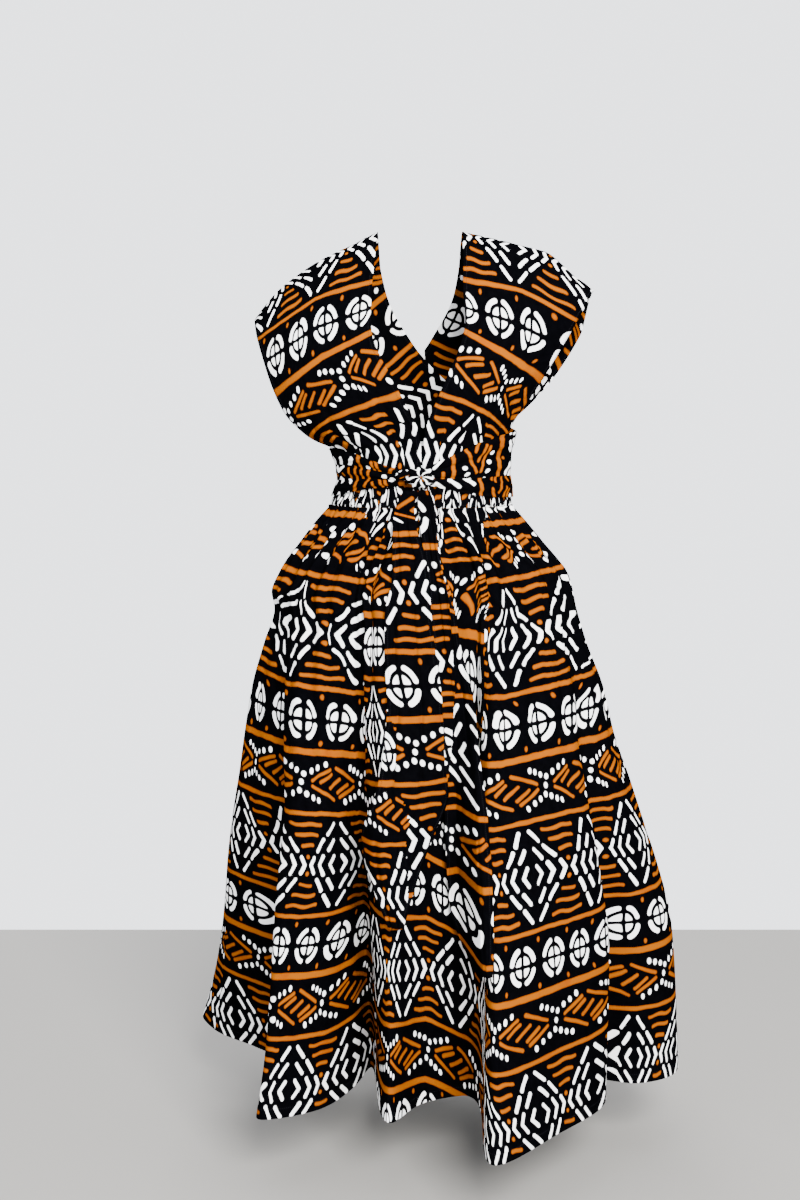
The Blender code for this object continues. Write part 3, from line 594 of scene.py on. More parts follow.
def weave_bump(tree, shader, cloth, strength):
    """Join the weave to a shader's normal and roughness."""
    weave = node(tree, "ShaderNodeGroup", node_tree=WEAVE_GROUP)
    feed(tree, weave.inputs["Cloth"], cloth)
    weave.inputs["Threads"].default_value = THREADS
    bump = node(tree, "ShaderNodeBump")
    bump.inputs["Strength"].default_value = strength
    bump.inputs["Distance"].default_value = THREAD_DEPTH
    feed(tree, bump.inputs["Height"], weave.outputs["Height"])
    feed(tree, shader.inputs["Normal"], bump.outputs["Normal"])
    rough = calc(tree, "MULTIPLY_ADD", weave.outputs["Uneven"], 0.22, 0.62)
    feed(tree, shader.inputs["Roughness"], rough)
    return weave.outputs["Uneven"]


BLACK = (0.0004, 0.0004, 0.0006, 1)
WHITE = (0.96, 0.96, 0.96, 1)
FADED_BLACK, GREY_THREAD = (0.0012, 0.0012, 0.0017, 1), (0.02, 0.02, 0.024, 1)
THREADS, THREAD_DEPTH, PATCH_SCALE = 11000.0, 0.0002, 21.0
ORANGE = (0.22, 0.057, 0.0, 1)
ORANGE_RED = (0.20, 0.038, 0.0, 1)
ORANGE_DEEP = (0.14, 0.026, 0.0, 1)


def new_cloth(name):
    """A look with the cloth's own map and no gloss: its material, tree, shader and place."""
    look = bpy.data.materials.new(name)
    look.use_nodes = True
    tree = look.node_tree
    shader = tree.nodes["Principled BSDF"]
    set_cotton(shader)
    return look, tree, shader, node(tree, "ShaderNodeUVMap", uv_map="cloth")


def make_print_cloth(name, wobble=3.2):
    """Black cotton with the print in white and orange, the same on both faces."""
    look, tree, shader, place = new_cloth(name)
    printed = node(tree, "ShaderNodeGroup", node_tree=PRINT_GROUP)
    feed(tree, printed.inputs["Cloth"], place.outputs["UV"])
    printed.inputs["Wobble"].default_value = wobble
    uneven = weave_bump(tree, shader, place.outputs["UV"], 0.35)
    ground = blend_colours(tree, uneven, BLACK, FADED_BLACK)
    patches = node(tree, "ShaderNodeTexNoise", noise_dimensions="2D")
    patches.inputs["Scale"].default_value = PATCH_SCALE
    patches.inputs["Detail"].default_value = 3.0
    feed(tree, patches.inputs["Vector"], place.outputs["UV"])
    soaked = calc(tree, "MULTIPLY_ADD", patches.outputs["Fac"], 3.2, -1.75, clamp=True)
    orange = blend_colours(tree, soaked, ORANGE, ORANGE_RED)
    orange = blend_colours(tree, printed.outputs["Rim"], orange, ORANGE_DEEP)
    colour = blend_colours(tree, printed.outputs["Orange"], ground, orange)
    colour = blend_colours(tree, printed.outputs["White"], colour, WHITE)
    feed(tree, shader.inputs["Base Color"], colour)
    return look


def make_plain_cloth(name, colour):
    """Plain dyed cotton."""
    look, tree, shader, place = new_cloth(name)
    uneven = weave_bump(tree, shader, place.outputs["UV"], 0.5)
    feed(tree, shader.inputs["Base Color"], blend_colours(tree, uneven, colour, GREY_THREAD))
    return look


PRINT_CLOTH = make_print_cloth("wax_print_cotton")
POCKET_CLOTH = make_plain_cloth("black_pocketing", (0.008, 0.008, 0.010, 1))
print("looks:", PRINT_CLOTH.name, "and", POCKET_CLOTH.name)


# %% [markdown]
# ## From points to cloth
#
# Every piece of the dress is a grid of points with a place on the flat cloth for each point,
# kept in a UV map in metres. The map is what the print and the weave follow, so a pattern
# that is squeezed into a gather looks squeezed, and one that hides in a pleat is gone. A
# Solidify modifier gives the printed cloth 0.6 mm and the pocket bags 0.4 mm.


# %% Cloth from a grid
def cloth_from_grid(name, grid, places, look=None, closed=False, turned=(), wall=0.0006):
    """A mesh from rows of points. turned has masks of faces, each with the places that they take."""
    rows, columns = grid.shape[:2]
    faces = []
    uvs = []
    last = columns if closed else columns - 1
    for r in range(rows - 1):
        for c in range(last):
            d = (c + 1) % columns
            corners = ((r, c), (r + 1, c), (r + 1, d), (r, d))
            faces.append([i * columns + j for i, j in corners])
            source = places
            for mask, others in turned:
                if mask[r, c]:
                    source = others
            for k, (i, j) in enumerate(corners):
                u, v = source[i, j]
                if closed and j == 0 and k in (2, 3):
                    u, v = source[i, columns - 1] * 2 - source[i, columns - 2]
                uvs += [u, v]
    mesh = bpy.data.meshes.new(name)
    mesh.from_pydata([tuple(p) for p in grid.reshape(-1, 3)], [], faces)
    layer = mesh.uv_layers.new(name="cloth")
    layer.data.foreach_set("uv", np.array(uvs, dtype=np.float32))
    mesh.polygons.foreach_set("use_smooth", [True] * len(faces))
    mesh.materials.append(look or PRINT_CLOTH)
    mesh.update()
    item = put_in(name, mesh)
    if wall:
        solid = item.modifiers.new("Cloth", "SOLIDIFY")
        solid.thickness = wall
        solid.offset = 0.0
        solid.use_even_offset = False
        solid.use_quality_normals = True
    return item


def measure(item, grid):
    """Print a piece's area and its mean width and length."""
    down = lengths_down(grid)[-1].mean()
    across = lengths_across(grid)[:, -1].mean()
    mesh = item.data
    area = sum(face.area for face in mesh.polygons)
    print(f"{item.name}: {across:.3f} x {down:.3f} m, {area:.4f} m2, {len(mesh.polygons)} faces")


def settle(item, node_name):
    """Let a piece ride on the dress and stand for its solid, which is hidden."""
    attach(item, "root")
    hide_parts(node_name)


# %% [markdown]
# ## The skirt
#
# The skirt is two wide panels, gathered into the waistband and joined at the sides. In plan
# its hem is a line of folds. A cloth simulation could hang it, but the photo shows one
# particular set of folds, so they are listed at the waist, the hip, the knee and the hem,
# and the cloth runs through them.


# %% Tables of the skirt
HIP_LEFT, HIP_RIGHT, HIP_FRONT, HIP_BACK = 0.242, 0.250, 0.170, 0.165
# Height, and how far the skirt reaches to the left and to the right
SKIRT_OUTLINE = (
    (-0.456, 0.152, 0.152), (-0.476, 0.169, 0.168), (-0.510, 0.194, 0.195),
    (-0.540, 0.217, 0.221), (-0.560, 0.229, 0.236), (-0.595, 0.243, 0.248),
    (-0.620, 0.240, 0.254), (-0.680, 0.259, 0.272), (-0.750, 0.280, 0.299),
    (-0.830, 0.294, 0.318), (-0.900, 0.304, 0.343), (-0.970, 0.316, 0.366),
    (-1.050, 0.328, 0.392), (-1.130, 0.337, 0.412), (-1.200, 0.346, 0.418),
    (-1.270, 0.358, 0.421), (-1.370, 0.384, 0.424),
)
# The folds from the left side seam round the front: turn at the hip, how far each stands out
# there, and where it lies in plan at the knee and at the hem
FOLD_COLUMNS = ("name", "turn", "out", "knee_x", "knee_y", "hem_x", "hem_y")
FOLDS = (
    ("seam_left", -90, 0.000, -0.312, 0.030, -0.352, 0.118),
    ("left_face", -76, 0.000, -0.268, -0.045, -0.275, 0.042),
    ("valley_1", -64, -0.006, -0.222, -0.088, -0.205, -0.035),
    ("corner_1", -54, 0.005, -0.204, -0.192, -0.241, -0.238),
    ("lobe_1", -44, 0.002, -0.155, -0.197, -0.160, -0.203),
    ("slope_1", -36, -0.003, -0.124, -0.170, -0.108, -0.120),
    ("valley_2", -28, -0.010, -0.105, -0.135, -0.084, -0.044),
    ("corner_2", -14, 0.004, -0.045, -0.226, -0.046, -0.248),
    ("lobe_2", 0, 0.002, 0.002, -0.205, 0.000, -0.180),
    ("valley_3", 12, -0.007, 0.056, -0.165, 0.062, -0.152),
    ("corner_3", 28, 0.008, 0.104, -0.268, 0.104, -0.386),
    ("lobe_3", 46, 0.002, 0.183, -0.228, 0.190, -0.298),
    ("edge_3", 62, 0.002, 0.264, -0.155, 0.288, -0.150),
    ("valley_4", 69, -0.006, 0.268, -0.113, 0.272, -0.088),
    ("corner_4", 76, 0.000, 0.308, -0.103, 0.345, -0.105),
    ("corner_5", 83, 0.000, 0.341, -0.062, 0.405, -0.075),
    ("seam_right", 90, 0.000, 0.354, 0.010, 0.424, 0.015),
    ("valley_5", 103, -0.006, 0.288, 0.085, 0.318, 0.095),
    ("corner_6", 116, 0.005, 0.278, 0.185, 0.350, 0.262),
    ("valley_6", 129, -0.006, 0.196, 0.186, 0.212, 0.222),
    ("corner_7", 143, 0.005, 0.132, 0.245, 0.152, 0.348),
    ("valley_7", 158, -0.006, 0.047, 0.198, 0.048, 0.240),
    ("corner_8", 173, 0.005, -0.030, 0.250, -0.040, 0.362),
    ("valley_8", 188, -0.006, -0.102, 0.198, -0.118, 0.238),
    ("corner_9", 204, 0.005, -0.178, 0.232, -0.228, 0.322),
    ("valley_9", 223, -0.006, -0.222, 0.170, -0.252, 0.212),
    ("corner_10", 246, 0.003, -0.292, 0.125, -0.380, 0.190),
)
SEAM_RIGHT_ROW = 16
print("folds of the skirt:", len(FOLDS))


# %% The skirt in plan
RING_POINTS, SIDE_STEP = 721, 1e-4


def fold_column(name):
    """One column of the fold table as an array."""
    i = FOLD_COLUMNS.index(name)
    return np.array([row[i] for row in FOLDS], dtype=float)


def cloth_places():
    """Where each fold lies along the hem, from the left side seam, and the whole way round."""
    hem = np.stack([fold_column("hem_x"), fold_column("hem_y")], axis=-1)
    steps = np.linalg.norm(np.roll(hem, -1, axis=0) - hem, axis=1)
    return np.concatenate([[0.0], np.cumsum(steps)[:-1]]), float(steps.sum())


PLACES, AROUND = cloth_places()
FRONT_END = PLACES[SEAM_RIGHT_ROW]
print(f"cloth round the hem: {AROUND:.3f} m, {FRONT_END:.3f} m of it in front")


def skirt_levels():
    """The folds' places in plan at the waist, hip, knee and hem."""
    waist_turn = np.where(
        PLACES <= FRONT_END,
        -90 + 180 * PLACES / FRONT_END,
        90 + 180 * (PLACES - FRONT_END) / (AROUND - FRONT_END),
    )
    waist = oval(waist_turn, WAIST_HALF, WAIST_FRONT, WAIST_BACK)
    turn = fold_column("turn")
    half = np.where(np.sin(np.radians(turn)) < 0, HIP_LEFT, HIP_RIGHT)
    hip = oval(turn, half, HIP_FRONT, HIP_BACK)
    hip = hip * (1 + fold_column("out") / np.linalg.norm(hip, axis=1))[:, None]
    knee = np.stack([fold_column("knee_x"), fold_column("knee_y")], axis=-1)
    hem = np.stack([fold_column("hem_x"), fold_column("hem_y")], axis=-1)
    return waist, hip, knee, hem


LEVELS = skirt_levels()


def skirt_keys(height):
    """The folds' places in plan at one height."""
    waist, hip, knee, hem = LEVELS
    if height > HIP_LINE:
        t = min(max((height - SKIRT_LEVEL) / (HIP_LINE - SKIRT_LEVEL), 0.0), 1.0)
        return waist + (hip - waist) * (math.sin(t * math.pi / 2) * 0.55 + t * 0.45)
    if height > KNEE_LINE:
        return hip + (knee - hip) * (height - HIP_LINE) / (KNEE_LINE - HIP_LINE)
    return knee + (hem - knee) * (height - KNEE_LINE) / (HEM_LINE - KNEE_LINE)


def skirt_ring(height, u):
    """Points in plan and outward normals of the skirt at one height and places u."""
    keys = skirt_keys(height)
    ring = through(PLACES, keys, np.linspace(0.0, AROUND, RING_POINTS), AROUND)
    top = min(height, SKIRT_LEVEL)
    scale_left = float(smooth(SKIRT_OUTLINE, 1, top)) / -ring[:, 0].min()
    scale_right = float(smooth(SKIRT_OUTLINE, 2, top)) / ring[:, 0].max()
    found = [through(PLACES, keys, np.mod(u + d, AROUND), AROUND) for d in (0.0, SIDE_STEP, -SIDE_STEP)]
    for points in found:
        points[:, 0] *= np.where(points[:, 0] < 0, scale_left, scale_right)
    along = found[1] - found[2]
    normal = np.stack([along[:, 1], -along[:, 0]], axis=-1)
    return found[0], normal / np.linalg.norm(normal, axis=1)[:, None]


# %% [markdown]
# ### Gathers
#
# Under the band the cloth stands in small gathers that die out at the hip. They could be a
# wave of one size, but real gathers are uneven, so their spacing and depth drift. At the sides
# the panels stand apart a little, where the pockets open.


# %% Gathers
GATHERS = 20
# Height, and how deep the gathers are
GATHER_DEPTH = (
    (-0.452, 0.0028), (-0.457, 0.0028), (-0.470, 0.0048), (-0.500, 0.0075),
    (-0.540, 0.0070), (-0.600, 0.0045), (-0.680, 0.0020), (-0.780, 0.0000),
    (-1.370, 0.0000),
)
# Height, and how far a panel stands away at the side seam
POCKET_MOUTH = (
    (-0.4523, 0.000), (-0.4563, 0.000), (-0.4780, 0.012), (-0.5080, 0.022),
    (-0.5440, 0.027), (-0.5820, 0.020), (-0.6250, 0.000), (-1.3700, 0.000),
)
MOUTH_REACH, EDGE_COLUMN, EDGE_FADE = 0.300, 0.005, 0.06
print("gathers in a panel:", GATHERS)


def gather_phase(t):
    """How many gathers lie before a share t of a panel's width. They are uneven."""
    return GATHERS * t + 0.16 * np.sin(2 * math.pi * 3 * t) + 0.10 * np.sin(2 * math.pi * 7 * t + 1)


def gather_wave(u, start, end):
    """Gathers along a panel, 1 on a crest and -1 in a valley."""
    t = (u - start) / (end - start)
    size = 0.78 + 0.22 * np.sin(2 * math.pi * 5 * t + 0.7)
    return -np.cos(2 * math.pi * gather_phase(t)) * size


# Folds that run on below the gathers: height, amplitude
SOFT_FOLDS = (
    (-0.452, 0.0000), (-0.560, 0.0004), (-0.680, 0.0024), (-0.780, 0.0034),
    (-0.900, 0.0022), (-1.050, 0.0008), (-1.200, 0.0), (-1.370, 0.0),
)


def skirt_surface(u, heights, start, end, front):
    """A panel of the skirt as rows of points, downward, from cloth place start to end."""
    rows = []
    wave = gather_wave(u, start, end)
    edge = np.minimum(u - start, end - u)
    fade = np.clip((edge - EDGE_COLUMN) / EDGE_FADE, 0.0, 1.0)
    near = ease(1 - edge / MOUTH_REACH)
    for height in heights:
        plan, normal = skirt_ring(height, u)
        depth = smooth(GATHER_DEPTH, 1, height)
        plan = plan + normal * (depth * wave * fade)[:, None]
        mouth = float(smooth(POCKET_MOUTH, 1, height))
        plan[:, 1] += (-1 if front else 1) * mouth * near
        rows.append(np.column_stack([plan, np.full(len(u), height)]))
    return np.array(rows)


# %% [markdown]
# ### Creases
#
# A few sharper creases run down from the gathers. Noise would scatter them anywhere, so each is
# listed with its place. Behind, they are guessed. One side of a crease is steep and the other
# gentle, as in cloth that falls to one side.

# %% Creases: place on the cloth, top, bottom, half width, depth
CREASES_FRONT = (
    (0.220, -0.500, -0.700, 0.020, 0.0035), (0.455, -0.505, -0.760, 0.022, 0.0045),
    (0.600, -0.475, -0.640, 0.014, 0.0035), (0.690, -0.490, -0.800, 0.020, 0.0050),
    (0.775, -0.560, -0.860, 0.018, 0.0040), (1.190, -0.490, -0.840, 0.018, 0.0045),
    (1.300, -0.480, -0.720, 0.020, 0.0045), (1.430, -0.520, -0.800, 0.022, 0.0035),
    (1.640, -0.500, -0.690, 0.020, 0.0040),
)
CREASES_BACK = (
    (2.060, -0.500, -0.720, 0.022, 0.0040), (2.230, -0.480, -0.780, 0.020, 0.0050),
    (2.370, -0.530, -0.700, 0.018, 0.0035), (2.560, -0.490, -0.840, 0.024, 0.0050),
    (2.700, -0.480, -0.680, 0.016, 0.0040), (2.890, -0.510, -0.800, 0.022, 0.0045),
    (3.080, -0.490, -0.730, 0.020, 0.0040),
)
print("creases:", len(CREASES_FRONT), "in front,", len(CREASES_BACK), "behind")


def crease_depth(creases, height, u):
    """How deep the creases are at one height, steep on one side and gentle on the other."""
    depth = np.zeros(len(u))
    for i, (place, top, bottom, wide, deep) in enumerate(creases):
        share = (top - height) / (top - bottom)
        if 0.0 < share < 1.0:
            run = math.sin(math.pi * share ** 0.7)
            lean = place + 0.012 * math.sin(3 * share + i)
            gentle = np.where((u < lean) == (i % 2 == 0), wide, wide * 0.35)
            depth += deep * run * np.exp(-(((u - lean) / gentle) ** 2))
    return depth


# %% [markdown]
# A gather shows the cloth on its crest and hides most of the rest in its valley. So the print
# isn't simply stretched over the surface: each point asks where on the flat panel it comes from.

# %% Cloth hidden in the gathers: height, steepness
HIDDEN_STEPS = 6001
HIDDEN = (
    (-0.452, 5.0), (-0.500, 4.0), (-0.560, 3.5), (-0.640, 3.1),
    (-0.770, 2.0), (-0.900, 1.0), (-1.100, 0.2), (-1.370, 0.1),
)
print("steepest at the band:", HIDDEN[0][1])


def hidden_place(u, heights, start, end):
    """Where on the flat panel the cloth at u comes from, since much of it hides in the valleys."""
    t = (u - start) / (end - start)
    phase = gather_phase(t)
    whole = np.floor(phase)
    part = phase - whole
    table = np.linspace(-0.1, 1.1, HIDDEN_STEPS)
    phases = gather_phase(table)
    rows = []
    for height in heights:
        steep = float(smooth(HIDDEN, 1, height))
        inner = np.clip((2 * part - 1) * math.tanh(steep / 2), -0.999999, 0.999999)
        hidden = 0.5 + np.arctanh(inner) / steep
        share = np.interp(whole + hidden, phases, table)
        rows.append(start + (end - start) * share)
    return np.array(rows)


# %% [markdown]
# ### Where the print lies on the skirt
#
# The same diamond is as wide at the waist as at the hem, so the gathers decide which part of
# it shows. The tables say, at some heights, how many diamonds lie between the side seam and
# each place on the panel. In the middle of the front the print runs upside down, as on a gore
# cut the other way up. It is part of the same panel here, with no seam.

# %% Print tables of the front panel: height, then diamonds at each place across
LEFT_PLACES = (0.00, 0.10, 0.21, 0.42, 0.51, 0.60, 0.70, 0.80)
PRINT_LEFT = (
    (-0.452, -0.50, -0.20, 0.15, 0.45, 0.78, 1.10, 1.45, 1.80),
    (-0.520, -0.50, -0.20, 0.15, 0.42, 0.75, 1.05, 1.35, 1.70),
    (-0.640, -0.80, -0.50, -0.20, 0.10, 0.43, 0.68, 0.95, 1.30),
    (-0.770, -1.30, -0.65, -0.20, 0.08, 0.44, 0.71, 0.92, 1.30),
    (-0.880, -1.50, -0.62, -0.10, 0.10, 0.54, 0.86, 1.20, 1.55),
    (-1.000, -1.75, -0.95, -0.50, -0.10, 0.49, 0.86, 1.17, 1.50),
    (-1.120, -1.60, -1.00, -0.75, 0.00, 0.77, 1.14, 1.50, 1.90),
    (-1.210, -1.65, -1.05, -0.30, 0.05, 1.02, 1.50, 1.90, 2.30),
    (-1.370, -2.00, -1.20, -0.50, 0.15, 1.00, 1.55, 1.95, 2.40),
)
RIGHT_PLACES = (1.10, 1.20, 1.28, 1.40, 1.50, 1.58, 1.69, 1.79, 1.878)
PRINT_RIGHT = (
    (-0.452, -0.90, -0.50, -0.20, 0.30, 0.75, 1.00, 1.30, 1.50, 1.70),
    (-0.530, -0.90, -0.50, -0.20, 0.30, 0.75, 1.00, 1.30, 1.50, 1.70),
    (-0.655, -0.90, -0.56, -0.15, 0.37, 0.65, 0.80, 0.97, 1.20, 1.40),
    (-0.785, -1.00, -0.70, -0.40, 0.24, 0.62, 0.88, 1.24, 1.60, 1.90),
    (-0.880, -1.10, -0.80, -0.50, 0.12, 0.72, 0.95, 1.30, 2.00, 2.50),
    (-0.980, -1.60, -1.20, -0.83, -0.03, 0.42, 0.88, 1.28, 2.00, 2.60),
    (-1.120, -1.90, -1.40, -0.88, -0.01, 0.80, 1.15, 1.48, 2.10, 2.70),
    (-1.200, -1.95, -1.45, -0.87, -0.04, 0.62, 1.00, 1.40, 2.13, 2.70),
    (-1.370, -2.60, -2.00, -1.40, -0.40, 0.48, 0.80, 1.15, 2.50, 3.20),
)
GORE_PLACES = (0.57, 0.65, 0.74, 0.80, 0.86, 0.92, 0.984, 1.03, 1.08, 1.13, 1.20, 1.28, 1.40)
GORE_PRINT = (
    (-0.452, -1.90, -1.50, -1.00, -0.75, -0.40, 0.05, 0.50, 0.72, 0.98, 1.15, 1.35, 1.55, 1.90),
    (-0.545, -1.90, -1.50, -1.00, -0.75, -0.40, 0.05, 0.50, 0.72, 0.98, 1.15, 1.35, 1.55, 1.90),
    (-0.640, -2.60, -2.10, -1.50, -1.05, -0.60, 0.00, 0.50, 1.00, 1.43, 1.81, 2.30, 2.80, 3.60),
    (-1.370, -2.60, -2.10, -1.50, -1.05, -0.60, 0.00, 0.50, 1.00, 1.43, 1.81, 2.30, 2.80, 3.60),
)
# Its edges: height, place of the left one and of the right one
GORE_EDGES = (
    (-0.452, 0.570, 1.390), (-0.466, 0.600, 1.350), (-0.497, 0.675, 1.300), (-0.528, 0.700, 1.255),
    (-0.559, 0.715, 1.235), (-0.590, 0.735, 1.215), (-0.622, 0.770, 1.195), (-1.370, 0.770, 1.195),
)

# The uppermost diamonds lie among the finest gathers. Finer tables place them: height, then
# hundredths of a diamond at each place across
UPPER_LEFT_PLACES = (
    0.00, 0.05, 0.128, 0.143, 0.163, 0.20, 0.337, 0.37, 0.437,
    0.447, 0.455, 0.47, 0.53, 0.565, 0.61, 0.64, 0.69, 0.80,
)
UPPER_LEFT = (
    (-0.557, -71, -56, -54, -45, -34, -31, -25, -15, -12, 11, 30, 35, 44, 50, 58, 69, 79, 97),
    (-0.572, -61, -48, -45, -37, -29, -27, -24, -17, -15, -9, 24, 33, 42, 49, 57, 69, 80, 101),
    (-0.590, -51, -40, -39, -30, -22, -20, -17, -13, -12, -7, 25, 33, 41, 47, 55, 65, 76, 97),
    (-0.605, -49, -33, -27, -18, -14, -13, -12, -8, -1, 13, 28, 35, 44, 50, 59, 73, 83, 98),
    (-0.625, -44, -31, -20, -13, -8, -3, 1, 12, 18, 25, 31, 37, 49, 55, 65, 76, 85, 100),
    (-0.643, -48, -38, -27, -15, -9, -7, 7, 14, 19, 24, 30, 35, 47, 58, 69, 80, 88, 104),
    (-0.665, -51, -40, -37, -30, -18, -5, 3, 12, 20, 26, 32, 38, 49, 55, 71, 81, 90, 106),
    (-0.688, -56, -42, -31, -22, -11, -4, 0, 9, 19, 25, 32, 38, 49, 54, 63, 80, 90, 107),
    (-0.712, -67, -52, -37, -31, -20, -9, -3, 4, 16, 26, 31, 37, 49, 55, 65, 75, 91, 112),
)
UPPER_RIGHT_PLACES = (
    1.2, 1.26, 1.29, 1.312, 1.325, 1.34, 1.36, 1.41, 1.44, 1.45,
    1.49, 1.525, 1.546, 1.634, 1.654, 1.67, 1.7, 1.79, 1.878,
)
UPPER_RIGHT = (
    (-0.576, -30, -18, -10, -6, 10, 35, 44, 52, 60, 64, 70, 76, 83, 86, 91, 97, 103, 112, 120),
    (-0.597, -47, -28, -15, -10, 4, 30, 41, 49, 59, 63, 68, 72, 82, 84, 90, 93, 98, 105, 115),
    (-0.616, -56, -41, -23, -15, 0, 30, 39, 47, 57, 61, 66, 71, 78, 80, 86, 91, 94, 100, 110),
    (-0.632, -57, -39, -24, -16, 0, 20, 33, 43, 54, 57, 63, 67, 74, 76, 81, 84, 87, 95, 105),
    (-0.647, -62, -43, -22, -11, 4, 17, 27, 36, 47, 55, 62, 65, 71, 75, 80, 86, 90, 102, 112),
    (-0.662, -48, -30, -13, -7, 6, 18, 25, 34, 46, 51, 60, 64, 70, 73, 78, 84, 90, 105, 114),
    (-0.681, -47, -29, -10, -4, 4, 17, 29, 37, 47, 51, 57, 62, 70, 75, 79, 84, 91, 100, 110),
    (-0.701, -44, -25, -9, -2, 5, 16, 25, 36, 46, 49, 56, 60, 65, 74, 82, 92, 99, 103, 112),
    (-0.715, -44, -26, -11, -5, 0, 10, 23, 36, 47, 50, 58, 63, 67, 75, 85, 96, 106, 120, 130),
    (-0.728, -45, -26, -11, -5, 1, 11, 24, 38, 49, 53, 61, 66, 72, 78, 85, 95, 107, 130, 143),
)
# Where the finer tables take over from the coarse ones, and give way again at each side
FINE_TOP, FINE_TOP_FADE = -0.550, 0.006
LEFT_FINE_END, LEFT_FINE_FADE = -0.745, 0.028
RIGHT_FINE_END, RIGHT_FINE_FADE = -0.762, 0.030
print("rows of finer print tables:", len(UPPER_LEFT) + len(UPPER_RIGHT))

# %% How far down the cloth the print lies
# How far down the cloth the print starts, and how much it lags on the way down: length, lag
PRINT_TOP = -0.012
PRINT_LAG = (
    (0.000, 0.000), (0.100, 0.014), (0.260, 0.031), (0.370, 0.034), (0.480, 0.030),
    (0.630, 0.023), (0.730, 0.012), (0.830, 0.006), (0.940, 0.000),
)
# The print starts lower still at the right, where the gathers are pulled up: height, lag
RIGHT_LAG = ((-0.452, 0.018), (-0.474, 0.014), (-0.560, 0.000), (-1.370, 0.000))
# The gore's print is measured up from its lower end: height, length at each place
LENGTH_PLACES = (0.57, 0.90, 0.98, 1.03, 1.08, 1.13, 1.28)
GORE_LENGTH = (
    (-0.452, 0.893, 0.893, 0.893, 0.893, 0.893, 0.893, 0.893),
    (-0.560, 0.893, 0.893, 0.896, 0.897, 0.897, 0.897, 0.897),
    (-0.660, 0.893, 0.893, 0.902, 0.915, 0.922, 0.928, 0.928),
    (-0.800, 0.893, 0.893, 0.902, 0.935, 0.953, 0.963, 0.970),
    (-1.370, 0.893, 0.893, 0.902, 0.935, 0.953, 0.963, 0.970),
)


def printed_places(across, heights, places, table):
    """Diamonds across, read off a table with a row for each height."""
    columns = [smooth(table, i + 1, heights) for i in range(len(places))]
    rows = np.array(columns).T
    return np.array([np.interp(a, places, row) for a, row in zip(across, rows)])


# %% [markdown]
# ### The panels
#
# Each panel is one grid, gathered above and folded over at the hem, where the cloth is double.
# Its rows stand close together at the gathers and at the hem, and further apart between.


# %% Panels of the skirt
PANEL_LENGTH = 0.940
CLOTH_PITCH = PITCH / 1000
GATHER_END, TINY_GATHER, FOLD_STEP = -0.640, 0.0007, 0.002


def skirt_heights():
    """Heights of the mesh rows, close together at the gathers."""
    upper = np.linspace(SKIRT_LEVEL, GATHER_END, 34)
    lower = np.linspace(GATHER_END, HEM_LINE + 0.022, 46)[1:]
    hem = HEM_LINE + np.array([HEM_DEPTH + 0.0015, HEM_DEPTH - 0.0015, HEM_DEPTH / 2, 0.0015, 0.0])
    return np.concatenate([[SKIRT_TOP], upper, lower, hem])


def skirt_columns(front):
    """Cloth places of a panel's mesh columns, half a seam gap inside its side seams."""
    start, end = (0.0, FRONT_END) if front else (FRONT_END, AROUND)
    inner = np.linspace(start, end, GATHERS * 12 + 1)[1:-1]
    first = [start + SEAM_GAP / 2, start + EDGE_COLUMN]
    last = [end - EDGE_COLUMN, end - SEAM_GAP / 2]
    return np.concatenate([first, inner, last]), start, end


